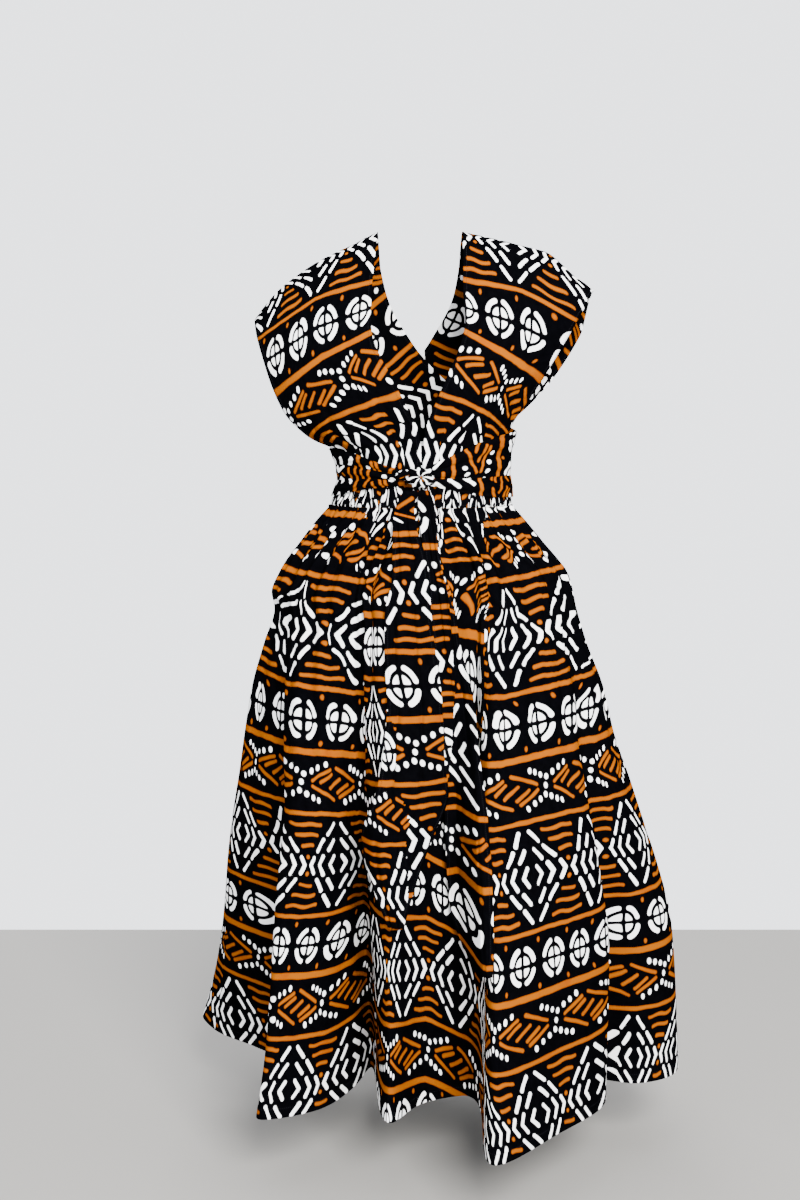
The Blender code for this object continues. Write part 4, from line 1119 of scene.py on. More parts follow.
def make_panel(name, node_name, front):
    """A gathered panel with its print."""
    u, start, end = skirt_columns(front)
    heights = skirt_heights()
    grid = skirt_surface(u, heights, start, end, front)
    wave = gather_wave(u, start, end)
    t = (u - start) / (end - start)
    fine = np.sin(2 * math.pi * (3 * gather_phase(t) + 0.3 * np.sin(2 * math.pi * 9 * t)))
    slow = wave * (0.6 + 0.5 * np.sin(2 * math.pi * 4 * t + 2.0))
    fade = np.clip((np.minimum(u - start, end - u) - EDGE_COLUMN) / EDGE_FADE, 0.0, 1.0)
    for r, height in enumerate(heights):
        normal = skirt_ring(height, u)[1]
        deep = float(smooth(SOFT_FOLDS, 1, height))
        tiny = TINY_GATHER * float(ease((height + 0.540) / 0.06))
        creased = crease_depth(CREASES_FRONT if front else CREASES_BACK, height, u)
        grid[r, :, :2] += normal * ((slow * deep + fine * tiny - creased) * fade)[:, None]
        folded = float(ease((HEM_LINE + HEM_DEPTH - height) / FOLD_STEP + 0.5))
        grid[r, :, :2] += normal * DOUBLED * folded
    down = lengths_down(grid)
    down = down / down[-1] * PANEL_LENGTH
    v = down + PRINT_TOP - smooth(PRINT_LAG, 1, down.ravel()).reshape(down.shape)
    phase = gather_phase(t)
    uneven = np.sin(2 * math.pi * 2.7 * phase) + 0.8 * np.sin(2 * math.pi * 1.3 * phase + 1)
    v = v + 0.0009 * uneven * ease((heights + 0.560) / 0.10)[:, None]
    across = hidden_place(u, heights, start, end)
    turned = []
    if front:
        left = printed_places(across, heights, LEFT_PLACES, PRINT_LEFT)
        right = printed_places(across, heights, RIGHT_PLACES, PRINT_RIGHT)
        band = ease((FINE_TOP - heights) / FINE_TOP_FADE)[:, None]
        fine_left = printed_places(across, heights, UPPER_LEFT_PLACES, UPPER_LEFT) / 100
        leave = ease((heights - LEFT_FINE_END) / LEFT_FINE_FADE)[:, None]
        left = left + (fine_left - left) * band * leave
        fine_right = printed_places(across, heights, UPPER_RIGHT_PLACES, UPPER_RIGHT) / 100
        leave = ease((heights - RIGHT_FINE_END) / RIGHT_FINE_FADE)[:, None]
        right = right + (fine_right - right) * band * leave
        diamonds = np.where(across < 1.0, left, right)
        v = v - smooth(RIGHT_LAG, 1, heights)[:, None] * ease((across - 1.15) / 0.2)
        places = np.stack([diamonds * CLOTH_PITCH, v], axis=-1)
        gore = -printed_places(across, heights, GORE_PLACES, GORE_PRINT) * CLOTH_PITCH
        gore_v = printed_places(across, heights, LENGTH_PLACES, GORE_LENGTH) - down
        middle = (across[:-1, :-1] + across[:-1, 1:] + across[1:, :-1] + across[1:, 1:]) / 4
        level = (heights[:-1] + heights[1:]) / 2
        inside_gore = middle > smooth(GORE_EDGES, 1, level)[:, None]
        inside_gore &= middle < smooth(GORE_EDGES, 2, level)[:, None]
        turned = [(inside_gore, np.stack([gore, gore_v], axis=-1))]
    else:
        centre = (start + end) / 2
        share = 0.62 + 0.38 * ease((-0.60 - heights) / 0.60)
        places = np.stack([centre + (across - centre) * share[:, None], v], axis=-1)
    item = cloth_from_grid(name, grid, places, turned=turned)
    settle(item, node_name)
    measure(item, grid)
    return item, grid


front_panel, front_grid = make_panel("front_panel", "skirt_front", True)
back_panel, back_grid = make_panel("back_panel", "skirt_back", False)


# %% [markdown]
# ## The waistband
#
# A ring of the same cloth that is ruched, as an elastic or a drawn thread does it: short
# upright folds all the way round. Much of it is hidden by the straps and wraps.


# %% Waistband
BAND_TOP, BAND_BOTTOM = -0.4050, -0.4520
RUCHES, RUCHE_DEPTH = 22, 0.0010
RUCHE_COLUMNS, SMALL_RUCHE, RUCHE_PUFF = 36, 0.0012, 0.0006


def make_waistband():
    """The ruched ring."""
    count = RUCHES * RUCHE_COLUMNS
    turn = np.arange(count) * 360.0 / count
    heights = np.linspace(BAND_TOP, BAND_BOTTOM, 13)
    wave = np.cos(np.radians(turn) * RUCHES)
    phase = np.radians(turn) * RUCHES * 3 + 1.7 * np.sin(np.radians(turn) * 5)
    rows = []
    places = []
    for z in heights:
        t = (BAND_TOP - z) / (BAND_TOP - BAND_BOTTOM)
        plan = oval(turn, WAIST_HALF, WAIST_FRONT, WAIST_BACK)
        outward = plan / np.linalg.norm(plan, axis=1)[:, None]
        puff = RUCHE_PUFF * math.sin(math.pi * t * 2) ** 2
        depth = wave * RUCHE_DEPTH + np.sin(phase + 0.5 * math.sin(5 * t)) * SMALL_RUCHE + puff
        plan = plan + outward * depth[:, None]
        rows.append(np.column_stack([plan, np.full(count, z)]))
        stretch = np.radians(turn) / (2 * math.pi) * CLOTH_PITCH * 19 + 0.0055 * np.cos(phase)
        slip = 0.010 * np.sin(np.radians(turn) * RUCHES + 1.0) * t
        places.append(np.stack([stretch, 0.118 + t * 0.052 + slip], axis=-1))
    grid = pull_in(np.array(rows))
    item = cloth_from_grid("waist_band", grid, np.array(places), closed=True)
    settle(item, "waistband")
    measure(item, grid)
    return item, grid


waist_band, waist_grid = make_waistband()


# %% [markdown]
# ## The straps
#
# Each strap is one long strip, sewn into the waistband in front. It goes up over the
# shoulder, down across the back, round the waist to the front and into the knot. The form
# that it lies on is a stack of ovals, and the strap's edges are stations on that form.


# %% The form under the straps: height, reach to the left, reach to the right, depth
FORM_FRONT = (
    (0.000, 0.0716, 0.0680, 0.030), (-0.008, 0.0890, 0.1062, 0.036), (-0.021, 0.1130, 0.1610, 0.046),
    (-0.034, 0.1420, 0.2090, 0.055), (-0.049, 0.1710, 0.2290, 0.064), (-0.072, 0.2060, 0.2530, 0.078),
    (-0.099, 0.2390, 0.2857, 0.092), (-0.120, 0.2570, 0.2890, 0.101), (-0.147, 0.2760, 0.2800, 0.111),
    (-0.175, 0.2840, 0.2660, 0.119), (-0.214, 0.2800, 0.2420, 0.126), (-0.260, 0.2650, 0.2080, 0.130),
    (-0.300, 0.2460, 0.1740, 0.127), (-0.320, 0.2280, 0.1590, 0.122), (-0.336, 0.2070, 0.1520, 0.117),
    (-0.346, 0.1860, 0.1500, 0.114), (-0.354, 0.1640, 0.1490, 0.112), (-0.362, 0.1510, 0.1485, 0.110),
    (-0.380, 0.1485, 0.1480, 0.108), (-0.452, 0.1480, 0.1480, 0.108),
)
FORM_BACK = (
    (0.000, 0.0716, 0.0680, 0.030), (-0.008, 0.0890, 0.1062, 0.036), (-0.021, 0.1130, 0.1610, 0.047),
    (-0.034, 0.1420, 0.2090, 0.057), (-0.049, 0.1710, 0.2290, 0.067), (-0.072, 0.2060, 0.2530, 0.081),
    (-0.099, 0.2390, 0.2857, 0.093), (-0.120, 0.2570, 0.2890, 0.100), (-0.147, 0.2760, 0.2840, 0.106),
    (-0.175, 0.2800, 0.2760, 0.110), (-0.214, 0.2670, 0.2570, 0.111), (-0.250, 0.2350, 0.2280, 0.108),
    (-0.290, 0.1850, 0.1820, 0.102), (-0.320, 0.1570, 0.1560, 0.098), (-0.340, 0.1500, 0.1500, 0.097),
    (-0.452, 0.1480, 0.1480, 0.096),
)


def form_point(turn, z, front):
    """A point on the form. turn is 0 at the middle and 90 at +X."""
    rows = FORM_FRONT if front else FORM_BACK
    sine = np.sin(np.radians(turn))
    x = np.where(sine < 0, smooth(rows, 1, z), smooth(rows, 2, z)) * sine
    y = smooth(rows, 3, z) * np.cos(np.radians(turn)) * (-1 if front else 1)
    return np.stack([x, y, z], axis=-1)


def form_turn(x, z, front):
    """The turn at which the form has this x at this height."""
    rows = FORM_FRONT if front else FORM_BACK
    half = np.where(np.asarray(x) < 0, smooth(rows, 1, z), smooth(rows, 2, z))
    return np.degrees(np.arcsin(np.clip(np.asarray(x) / half, -1, 1)))


def ridge_height(x):
    """The height at which the form is this wide, which is where the straps cross the shoulder."""
    column = 1 if x < 0 else 2
    heights = np.linspace(0.0, -0.147 if x < 0 else -0.099, 400)
    return float(np.interp(abs(x), smooth(FORM_FRONT, column, heights), heights))


def strap_surface(stations, front, across, along, layer):
    """A stretch of strap from the shoulder down, on the form, moved out by its layer."""
    table = np.array(stations, dtype=float)
    turn_in = form_turn(table[:, 0], table[:, 1], front)
    turn_out = form_turn(table[:, 2], table[:, 3], front)
    sign = -1 if table[0, 0] < 0 else 1
    turn_in[0] = turn_out[0] = 90 * sign
    if not front:
        turn_in[-1] = turn_out[-1] = -90 * sign
    middle = form_point((turn_in + turn_out) / 2, (table[:, 1] + table[:, 3]) / 2, front)
    steps = np.linalg.norm(np.diff(middle, axis=0), axis=1)
    places = np.concatenate([[0.0], np.cumsum(steps)]) / steps.sum()
    line = through(places, table, along)
    turns = through(places, np.stack([turn_in, turn_out], axis=-1), along)
    rows = []
    for i, v in enumerate(along):
        t = min(v / places[1], 1.0)
        if t < 1.0:
            line[i] = table[0] + (table[1] - table[0]) * t * t
        x = line[i, 0] + (line[i, 2] - line[i, 0]) * across
        z = line[i, 1] + (line[i, 3] - line[i, 1]) * across
        ridge = np.array([ridge_height(value) for value in x])
        z = z + (ridge - z) * (1.0 - t) ** 2
        z = np.minimum(z, ridge)
        by_place = form_point(form_turn(x, z, front), z, front)
        by_turn = form_point(turns[i, 0] + (turns[i, 1] - turns[i, 0]) * across, z, front)
        late = min(max((v - 0.45) / 0.35, 0.0), 1.0)
        rows.append(by_place + (by_turn - by_place) * late)
    grid = np.array(rows)
    normal = grid_normals(grid)
    outward = grid - np.array([0.0, 0.0, -0.25])
    outward[..., 2] *= 0.2
    normal = normal * np.sign(np.sum(normal * outward, axis=2))[..., None]
    return grid + normal * layer(along)[:, None, None], normal


# %% The straps' edges: x and height of the inner edge, x and height of the outer edge
STRAP_FRONT_LEFT = (
    (-0.0716, 0.000, -0.2760, -0.147), (-0.0758, -0.045, -0.2690, -0.176),
    (-0.0800, -0.102, -0.2576, -0.214), (-0.0813, -0.145, -0.2420, -0.260),
    (-0.0763, -0.187, -0.2214, -0.302), (-0.0460, -0.247, -0.1930, -0.332),
    (-0.0250, -0.290, -0.1640, -0.351), (-0.0040, -0.335, -0.1420, -0.372),
    (-0.0006, -0.4047, -0.1340, -0.4047),
)
STRAP_FRONT_RIGHT = (
    (0.0680, 0.000, 0.2857, -0.099), (0.0677, -0.045, 0.2640, -0.133),
    (0.0662, -0.105, 0.2408, -0.172), (0.0686, -0.158, 0.2092, -0.224),
    (0.0587, -0.197, 0.1777, -0.274), (0.0412, -0.238, 0.1494, -0.315),
    (0.0240, -0.278, 0.1400, -0.345), (0.0050, -0.330, 0.1370, -0.372),
    (0.0006, -0.4047, 0.1340, -0.4047),
)
STRAP_BACK_LEFT = (
    (-0.0716, 0.000, -0.2760, -0.147), (-0.0680, -0.055, -0.2660, -0.190),
    (-0.0520, -0.115, -0.2220, -0.243), (-0.0150, -0.178, -0.1620, -0.296),
    (0.0350, -0.236, -0.0850, -0.348), (0.0850, -0.284, 0.0050, -0.392),
    (0.1280, -0.314, 0.0850, -0.422), (0.1520, -0.330, 0.1480, -0.439),
)
STRAP_BACK_RIGHT = (
    (0.0680, 0.000, 0.2857, -0.099), (0.0650, -0.055, 0.2660, -0.165),
    (0.0520, -0.115, 0.2220, -0.232), (0.0150, -0.180, 0.1640, -0.292),
    (-0.0350, -0.244, 0.0860, -0.348), (-0.0850, -0.298, -0.0050, -0.392),
    (-0.1270, -0.337, -0.0850, -0.422), (-0.1490, -0.360, -0.1480, -0.438),
)
print("stations of the front straps:", len(STRAP_FRONT_LEFT), len(STRAP_FRONT_RIGHT))

# %% [markdown]
# ### Where the print lies on the straps
#
# The bands of the print run across each strap, and the strap is drawn together on its way to
# the waist. The tables place the bands along it and the diamonds across it.

# %% Print tables of the straps
# Shares of the strap's length at which five lengths of the print lie: at its inner edge, in the
# middle and at its outer edge
PRINT_DOWN = (0.150, 0.257, 0.355, 0.451, 0.5185, 0.560)
DOWN_LEFT = (
    (0.02, 0.28, 0.49, 0.69, 0.89, 1.00),
    (-0.05, 0.20, 0.44, 0.69, 0.89, 1.00),
    (-0.05, 0.20, 0.44, 0.69, 0.89, 1.00),
)
DOWN_RIGHT = (
    (0.02, 0.29, 0.49, 0.755, 0.90, 1.00),
    (-0.02, 0.24, 0.50, 0.745, 0.90, 1.00),
    (-0.02, 0.26, 0.51, 0.74, 0.90, 1.00),
)
# Diamonds across at widths from the inner edge, in rows for shares of the strap's length
WIDTHS = (0.00, 0.03, 0.06, 0.09, 0.12, 0.15, 0.20, 0.25)
ACROSS_LEFT = (
    (0.00, 0.95, 0.75, 0.53, 0.27, 0.05, -0.22, -0.70, -1.15),
    (0.35, 0.92, 0.69, 0.48, 0.24, -0.03, -0.35, -0.85, -1.30),
    (0.60, 1.00, 0.75, 0.32, 0.08, -0.15, -0.38, -0.80, -1.20),
    (0.85, 0.65, 0.40, 0.12, -0.15, -0.40, -0.65, -1.05, -1.50),
    (1.00, 0.62, 0.37, 0.10, -0.15, -0.40, -0.65, -1.05, -1.50),
)
ACROSS_RIGHT = (
    (0.00, 0.38, 0.60, 0.80, 1.00, 1.22, 1.47, 1.85, 2.20),
    (0.38, 0.23, 0.50, 0.73, 0.97, 1.27, 1.45, 1.65, 2.00),
    (0.60, 0.35, 0.60, 0.80, 1.20, 1.63, 1.95, 2.30, 2.60),
    (0.85, 0.00, 0.25, 0.50, 0.75, 1.05, 1.30, 1.70, 2.00),
    (1.00, -0.02, 0.23, 0.48, 0.73, 1.00, 1.25, 1.65, 2.00),
)
print("lengths of the print along a strap:", len(PRINT_DOWN))

# %% [markdown]
# Each strap is a grid on the form. It has lengthwise folds towards the knot, a folded edge down
# each side, and a print that jumps at each fold by the cloth that the fold hides. Behind, one
# strap lies under the other.


# %% Straps
STRAP_FOLDS = ((0.16, 0.055, 0.0050), (0.38, 0.060, 0.0055), (0.60, 0.060, 0.0055), (0.82, 0.055, 0.0050))
# The cloth that a fold hides, and the share of the length from which it does
FOLD_HIDES, FOLD_FROM, FOLD_OVER = 0.009, 0.62, 0.3


def flat_layer(v):
    """The front straps lie on the form."""
    return np.zeros(len(v))


def under_layer(v):
    """The strap that lies underneath where the two cross behind."""
    return LAYER_WRAP * np.clip(v / 0.35, 0.0, 1.0)


def over_layer(v):
    """The strap that lies on top where the two cross behind."""
    rise = LAYER_OVER * np.clip(v / 0.30, 0.0, 1.0)
    return rise - (LAYER_OVER - LAYER_WRAP) * np.clip((v - 0.80) / 0.20, 0.0, 1.0)


def strap_print(grid, across, along, front, print_down, print_across):
    """Places on the cloth of a strap's points. The back goes on from the shoulder."""
    width = lengths_across(grid)
    down = lengths_down(grid)
    v = np.empty(width.shape)
    u = np.empty(width.shape)
    for c, share in enumerate(across):
        lines = [np.interp(share, (0.0, 0.5, 1.0), ends) for ends in zip(*print_down)]
        slope = (PRINT_DOWN[-1] - PRINT_DOWN[0]) / (lines[-1] - lines[0])
        at_shoulder = PRINT_DOWN[0] - lines[0] * slope
        v[:, c] = np.interp(along, lines, PRINT_DOWN) if front else at_shoulder - down[:, c]
    for r, share in enumerate(along if front else np.zeros(len(along))):
        row = [float(smooth(print_across, i + 1, share)) for i in range(len(WIDTHS))]
        u[r] = np.interp(width[r], WIDTHS, row) * CLOTH_PITCH
    return np.stack([u, v], axis=-1)


def make_strap(name, node_name, stations, front, layer, print_down, print_across):
    """A stretch of strap with lengthwise folds, and the tables that place its print.

    Towards the knot the front straps are drawn together, and each fold hides more of the cloth.
    """
    across = np.linspace(0.0, 1.0, 57)
    inner = np.linspace(0.0, 1.0, 91)[1:-1]
    along = np.concatenate([[0.0, 0.006], inner[1:], [1.0]])
    grid, normal = strap_surface(stations, front, across, along, layer)
    if front:
        for place, width, depth in STRAP_FOLDS:
            steep = np.where(across < place, width, width * 0.35)
            fold = np.exp(-(((across - place) / steep) ** 2))
            grow = np.clip((along - 0.45) / 0.5, 0.0, 1.0)
            grid = grid - normal * (depth * grow[:, None] * fold[None, :])[..., None]
    from_edge = lengths_across(grid)
    from_edge = np.minimum(from_edge, from_edge[:, -1:] - from_edge)
    doubled = DOUBLED * ease((EDGE_DEPTH - from_edge) / 0.002 + 0.5) * ease(along / 0.03)[:, None]
    grid = grid + normal * doubled[..., None]
    grid[0, :, 1] = (-1 if front else 1) * (SEAM_GAP / 2 + 0.0009 * across ** 2)
    if not front:
        side = np.sign(grid[-1, 0, 0])
        end = form_point(np.full(len(across), 90.0 * side), grid[-1, :, 2], True)
        grid[-1, :, 0] = end[:, 0] + side * LAYER_WRAP
        grid[-1, :, 1] = SEAM_GAP / 2
    places = strap_print(grid, across, along, front, print_down, print_across)
    turned = []
    if front:
        middle = (across[:-1] + across[1:]) / 2
        way = np.sign(places[0, -1, 0] - places[0, 0, 0])
        hides = ease((along - FOLD_FROM) / FOLD_OVER)[:, None]
        for i, row in enumerate(STRAP_FOLDS):
            beyond = np.broadcast_to(middle > row[0], (len(along) - 1, len(middle)))
            moved = places.copy()
            moved[..., 0] += way * FOLD_HIDES * (i + 1) * hides
            turned.append((beyond, moved))
    grid = pull_in(grid)
    item = cloth_from_grid(name, grid, places, turned=turned)
    settle(item, node_name)
    measure(item, grid)
    return item, grid


left_print, right_print = (DOWN_LEFT, ACROSS_LEFT), (DOWN_RIGHT, ACROSS_RIGHT)
strap_parts = [
    make_strap("left_front_strap", "strap_front_left", STRAP_FRONT_LEFT, True, flat_layer, *left_print),
    make_strap("right_front_strap", "strap_front_right", STRAP_FRONT_RIGHT, True, flat_layer, *right_print),
    make_strap("left_back_strap", "strap_back_left", STRAP_BACK_LEFT, False, under_layer, *left_print),
    make_strap("right_back_strap", "strap_back_right", STRAP_BACK_RIGHT, False, over_layer, *right_print),
]


# %% [markdown]
# ### Round the waist
#
# From the sides to the knot each strap is gathered into a narrow pleated band. It could go on
# as one mesh with the strap, but it lies higher, and its pleats hide more of the print, so it is
# a piece of its own that meets the back strap at the side.


# %% Waist wraps: turn from the front, height of the upper edge, height of the lower edge
WRAP_LEFT = (
    (90, -0.360, -0.438), (70, -0.359, -0.434), (50, -0.364, -0.427),
    (32, -0.376, -0.421), (17, -0.387, -0.417), (9, -0.392, -0.415),
)
WRAP_RIGHT = (
    (90, -0.330, -0.439), (70, -0.332, -0.438), (50, -0.338, -0.436),
    (32, -0.352, -0.431), (17, -0.369, -0.423), (4, -0.385, -0.415),
)
WRAP_FOLDS, WRAP_FOLD_DEPTH = 3, 0.0022


def make_wrap(name, node_name, rows, side, print_at, way, centre_at, print_across, pleats):
    """A strap's stretch round the waist, pleated lengthwise, from the side to the knot.

    print_at is the cloth place at the knot. The pleats are places across, with the cloth that
    they hide across and along the wrap.
    """
    turns = np.concatenate([[90, 88.5], np.linspace(rows[0][0], rows[-1][0], 64)[1:]])
    table = [(-row[0], row[1], row[2]) for row in rows]
    upper = smooth(table, 1, -turns)
    lower = smooth(table, 2, -turns)
    across = np.linspace(0.0, 1.0, 43)
    grid = []
    for i, turn in enumerate(turns):
        z = upper[i] + (lower[i] - upper[i]) * across
        wave = -np.cos(across * 2 * math.pi * WRAP_FOLDS) * WRAP_FOLD_DEPTH
        small = np.sin(across * 2 * math.pi * WRAP_FOLDS * 3 + turn * 0.05) * 0.0005
        grow = min(1.0, (90 - turn) / 20)
        place = form_point(np.full(len(z), turn * side), z, True)
        plan = place[:, :2]
        outward = plan / np.linalg.norm(plan, axis=1)[:, None]
        plan = plan + outward * (LAYER_WRAP + (wave + WRAP_FOLD_DEPTH + small) * grow)[:, None]
        if i == 0:
            plan[:, 1] = -SEAM_GAP / 2
        grid.append(np.column_stack([plan, z]))
    grid = np.array(grid)
    middle = lengths_down(grid)[:, len(across) // 2]
    to_knot = middle[-1] - middle
    width = lengths_across(grid)
    u = print_across * CLOTH_PITCH + (width - centre_at * width[:, -1:]) * way
    places = np.stack(np.broadcast_arrays(u, (print_at + way * to_knot)[:, None]), axis=-1)
    middle = (across[:-1] + across[1:]) / 2
    turned = []
    for place, hidden_across, hidden_along in pleats:
        below = np.broadcast_to(middle > place, (len(turns) - 1, len(middle)))
        turned.append((below, places + np.array([hidden_across, hidden_along])))
    grid = pull_in(grid)
    item = cloth_from_grid(name, grid, places, turned=turned)
    settle(item, node_name)
    measure(item, grid)
    return item


left_wrap = make_wrap(
    "left_wrap", "waist_wrap_left", WRAP_LEFT, -1, 0.360, 1, 0.5, 0.0,
    ((0.333, 0.030, 0.020), (0.667, 0.075, -0.012)))
right_wrap = make_wrap(
    "right_wrap", "waist_wrap_right", WRAP_RIGHT, 1, 0.4910, -1, 0.38, 0.5,
    ((0.667, -0.060, 0.052),))


# %% [markdown]
# ## Knot and tails
#
# The straps' ends are tied in a knot on the waistband and hang down over the skirt, one over
# the other. The tails are pleated by the knot, so they show strips of print with a jump
# between one pleat and the next.


# %% Knot: middle and half size of the knot, and of the small loop at its left
KNOT_CENTRE = (-0.004, -0.1292, -0.4030)
KNOT_HALF = (0.0240, 0.0135, 0.0180)
LOOP_CENTRE, LOOP_HALF = (-0.0290, -0.1260, -0.3985), (0.0150, 0.0085, 0.0095)
PINCH_WIDE, PINCH_DEEP, PRINT_ROUND = 0.42, 0.45, 0.026


def make_lump(centre, half, pinch_at, folds, print_at):
    """Rows of points round a lump of tied cloth, from its front to its back, and their places.

    Its folds run out from the pinch in front. folds has pairs of how many and how deep.
    """
    columns, rows = 108, 46
    angle = np.linspace(0, 2 * math.pi, columns, endpoint=False)
    grid = []
    places = []
    for i in range(rows):
        away = math.pi * (0.02 + 0.96 * i / (rows - 1))
        ripple = np.zeros(columns)
        for j, (count, depth) in enumerate(folds):
            ripple = ripple + depth * np.cos(count * angle + 1.3 * j + 0.9 * np.sin(2 * angle + j))
        ripple = ripple * math.sin(min(away, math.pi / 2)) * min(1.0, (math.pi - away) / 0.8)
        size = 0.94 + ripple
        pinch = math.exp(-(away / PINCH_WIDE) ** 2)
        lean = 1.0 - away / math.pi
        x = math.sin(away) * np.sin(angle) * size + pinch_at[0] * lean ** 2
        z = math.sin(away) * np.cos(angle) * size + pinch_at[1] * lean ** 2
        y = np.full(columns, -math.cos(away)) * (1 - PINCH_DEEP * pinch) + ripple * 0.8 * math.cos(away)
        grid.append(np.column_stack([
            centre[0] + x * half[0], centre[1] + y * half[1], centre[2] + z * half[2]]))
        far = away * 0.5 * (half[0] + half[2])
        u = print_at[0] + angle * PRINT_ROUND
        places.append(np.column_stack([u, np.full(columns, print_at[1] + far)]))
    return np.array(grid), np.array(places)


def make_knot():
    """The knot, and the small loop that stands out at its left."""
    knot_folds, loop_folds = ((7, 0.12), (13, 0.06), (23, 0.02)), ((3, 0.08), (11, 0.04))
    lumps = (
        make_lump(KNOT_CENTRE, KNOT_HALF, (0.10, 0.10), knot_folds, (0.00, 0.158)),
        make_lump(LOOP_CENTRE, LOOP_HALF, (0.25, -0.10), loop_folds, (0.035, 0.264)),
    )
    pieces = []
    for i, (grid, places) in enumerate(lumps):
        piece = cloth_from_grid(f"knot_part_{i}", grid, places, closed=True, wall=0.0)
        rows, columns = grid.shape[:2]
        mesh = bmesh.new()
        mesh.from_mesh(piece.data)
        mesh.verts.ensure_lookup_table()
        mesh.faces.new([mesh.verts[c] for c in range(columns)])
        mesh.faces.new([mesh.verts[(rows - 1) * columns + c] for c in reversed(range(columns))])
        bmesh.ops.recalc_face_normals(mesh, faces=mesh.faces)
        mesh.to_mesh(piece.data)
        mesh.free()
        pieces.append(piece)
    whole = bmesh.new()
    for piece in pieces:
        whole.from_mesh(piece.data)
        bpy.data.objects.remove(piece)
    mesh = bpy.data.meshes.new("tied_knot")
    whole.to_mesh(mesh)
    whole.free()
    mesh.materials.append(PRINT_CLOTH)
    item = put_in("tied_knot", mesh)
    settle(item, "knot")
    return item


tied_knot = make_knot()
print("knot:", len(tied_knot.data.polygons), "faces")


# %% [markdown]
# ### The tails
#
# A tail lies on the skirt and bridges its folds, so its depth is the skirt's own, smoothed. Its
# pleats are a sharp valley with a soft rise beside it. Two strips of the print show on each
# tail, on either side of a line that wanders down it.


# %% Tails: height, left edge, right edge
TAIL_LEFT = (
    (-0.4226, -0.030, -0.0060), (-0.450, -0.042, -0.0125), (-0.480, -0.0465, -0.0090),
    (-0.520, -0.0470, 0.0040), (-0.560, -0.0480, 0.0105), (-0.615, -0.0590, 0.0140),
    (-0.670, -0.0590, 0.0200), (-0.745, -0.0550, 0.0300), (-0.840, -0.0640, 0.0340),
    (-0.885, -0.0740, 0.0400), (-0.950, -0.0940, 0.0140), (-1.020, -0.0760, -0.0120),
    (-1.080, -0.0520, -0.0300),
)
TAIL_RIGHT = (
    (-0.4221, -0.0075, 0.0125), (-0.460, -0.0050, 0.0230), (-0.520, 0.0020, 0.0280),
    (-0.590, 0.0100, 0.0470), (-0.665, 0.0160, 0.0600), (-0.740, 0.0240, 0.0780),
    (-0.820, 0.0300, 0.0860), (-0.900, 0.0330, 0.0960), (-1.000, 0.0370, 0.1020),
    (-1.080, 0.0450, 0.1030), (-1.125, 0.0620, 0.1000),
)
TAIL_CREASE, TAIL_BRIDGE = 0.003, 0.020
TAIL_TOP_BEHIND = (0.0050, -0.0012)
KNOT_EASE = 0.06
PLEAT_DEPTH, PLEAT_WIDTH = 0.0026, 0.035
RISE_DEPTH, RISE_WIDTH, RISE_BESIDE = 0.0016, 0.05, 0.09
# The upper tail's print is turned under the knot: diamonds, the height where it ends, its length
TWIST, TWIST_END, TWIST_LENGTH = 0.32, -0.490, 0.040


def skirt_front_depth(height):
    """Places across and how far forward the skirt reaches there, as a cloth would bridge its folds."""
    fine = np.linspace(0.0, FRONT_END, 1601)
    top = max(min(height, SKIRT_TOP), HEM_LINE)
    points = skirt_surface(fine, (top,), 0.0, FRONT_END, True)[0]
    places = np.linspace(-0.16, 0.16, 81)
    depth = [points[np.abs(points[:, 0] - x) < TAIL_BRIDGE, 1].min() for x in places]
    return places, np.convolve(np.pad(depth, 3, mode="edge"), np.ones(7) / 7, mode="valid")


def make_tail(name, node_name, rows, layer, pleats, strips, split):
    """A tail with pleats at places across, and strips of print on the two parts that show.

    Each strip is a table of height and length along the cloth, a line from a place at a height
    with its lean, the print's place on that line, and how much of the cloth a metre shows.
    """
    heights = np.linspace(rows[0][0], rows[-1][0], 100)
    across = np.linspace(0.0, 1.0, 61)
    grid = []
    for z in heights:
        left = float(smooth(rows, 1, z))
        right = float(smooth(rows, 2, z))
        x = left + (right - left) * across
        places, depth = skirt_front_depth(z)
        low = min(1.0, (rows[0][0] - z) / KNOT_EASE)
        crease = TAIL_CREASE * (1 - np.abs(2 * across - 1)) * low
        for place in pleats:
            valley = np.exp(-((across - place) / PLEAT_WIDTH) ** 2)
            rise = np.exp(-((across - place - RISE_BESIDE) / RISE_WIDTH) ** 2)
            crease = crease - PLEAT_DEPTH * low * valley
            crease = crease + RISE_DEPTH * low * rise
        y = np.interp(x, places, depth) - LAYER_TAIL * layer - crease
        top = KNOT_CENTRE[1] + TAIL_TOP_BEHIND[layer - 1]
        y = top + (y - top) * low
        grid.append(np.column_stack([x, y, np.full(len(x), z)]))
    grid = np.array(grid)
    maps = []
    twist = np.zeros(len(heights))
    if layer == 2:
        twist = TWIST * ease((heights - TWIST_END) / TWIST_LENGTH)
    for lengths, line_x, line_z, lean, at_line, share in strips:
        v = smooth(lengths, 1, heights)
        line = line_x + lean * (line_z - heights)
        u = (at_line + twist[:, None]) * CLOTH_PITCH + (grid[..., 0] - line[:, None]) * share
        maps.append(np.stack(np.broadcast_arrays(u, v[:, None]), axis=-1))
    middle = (across[:-1] + across[1:]) / 2
    split_heights = [-row[0] for row in split]
    split_places = [row[1] for row in split]
    border = np.array([np.interp(-z, split_heights, split_places) for z in heights[1:]])
    mask = middle[None, :] > border[:, None]
    item = cloth_from_grid(name, grid, maps[0], turned=[(mask, maps[1])])
    settle(item, node_name)
    measure(item, grid)
    return item, grid


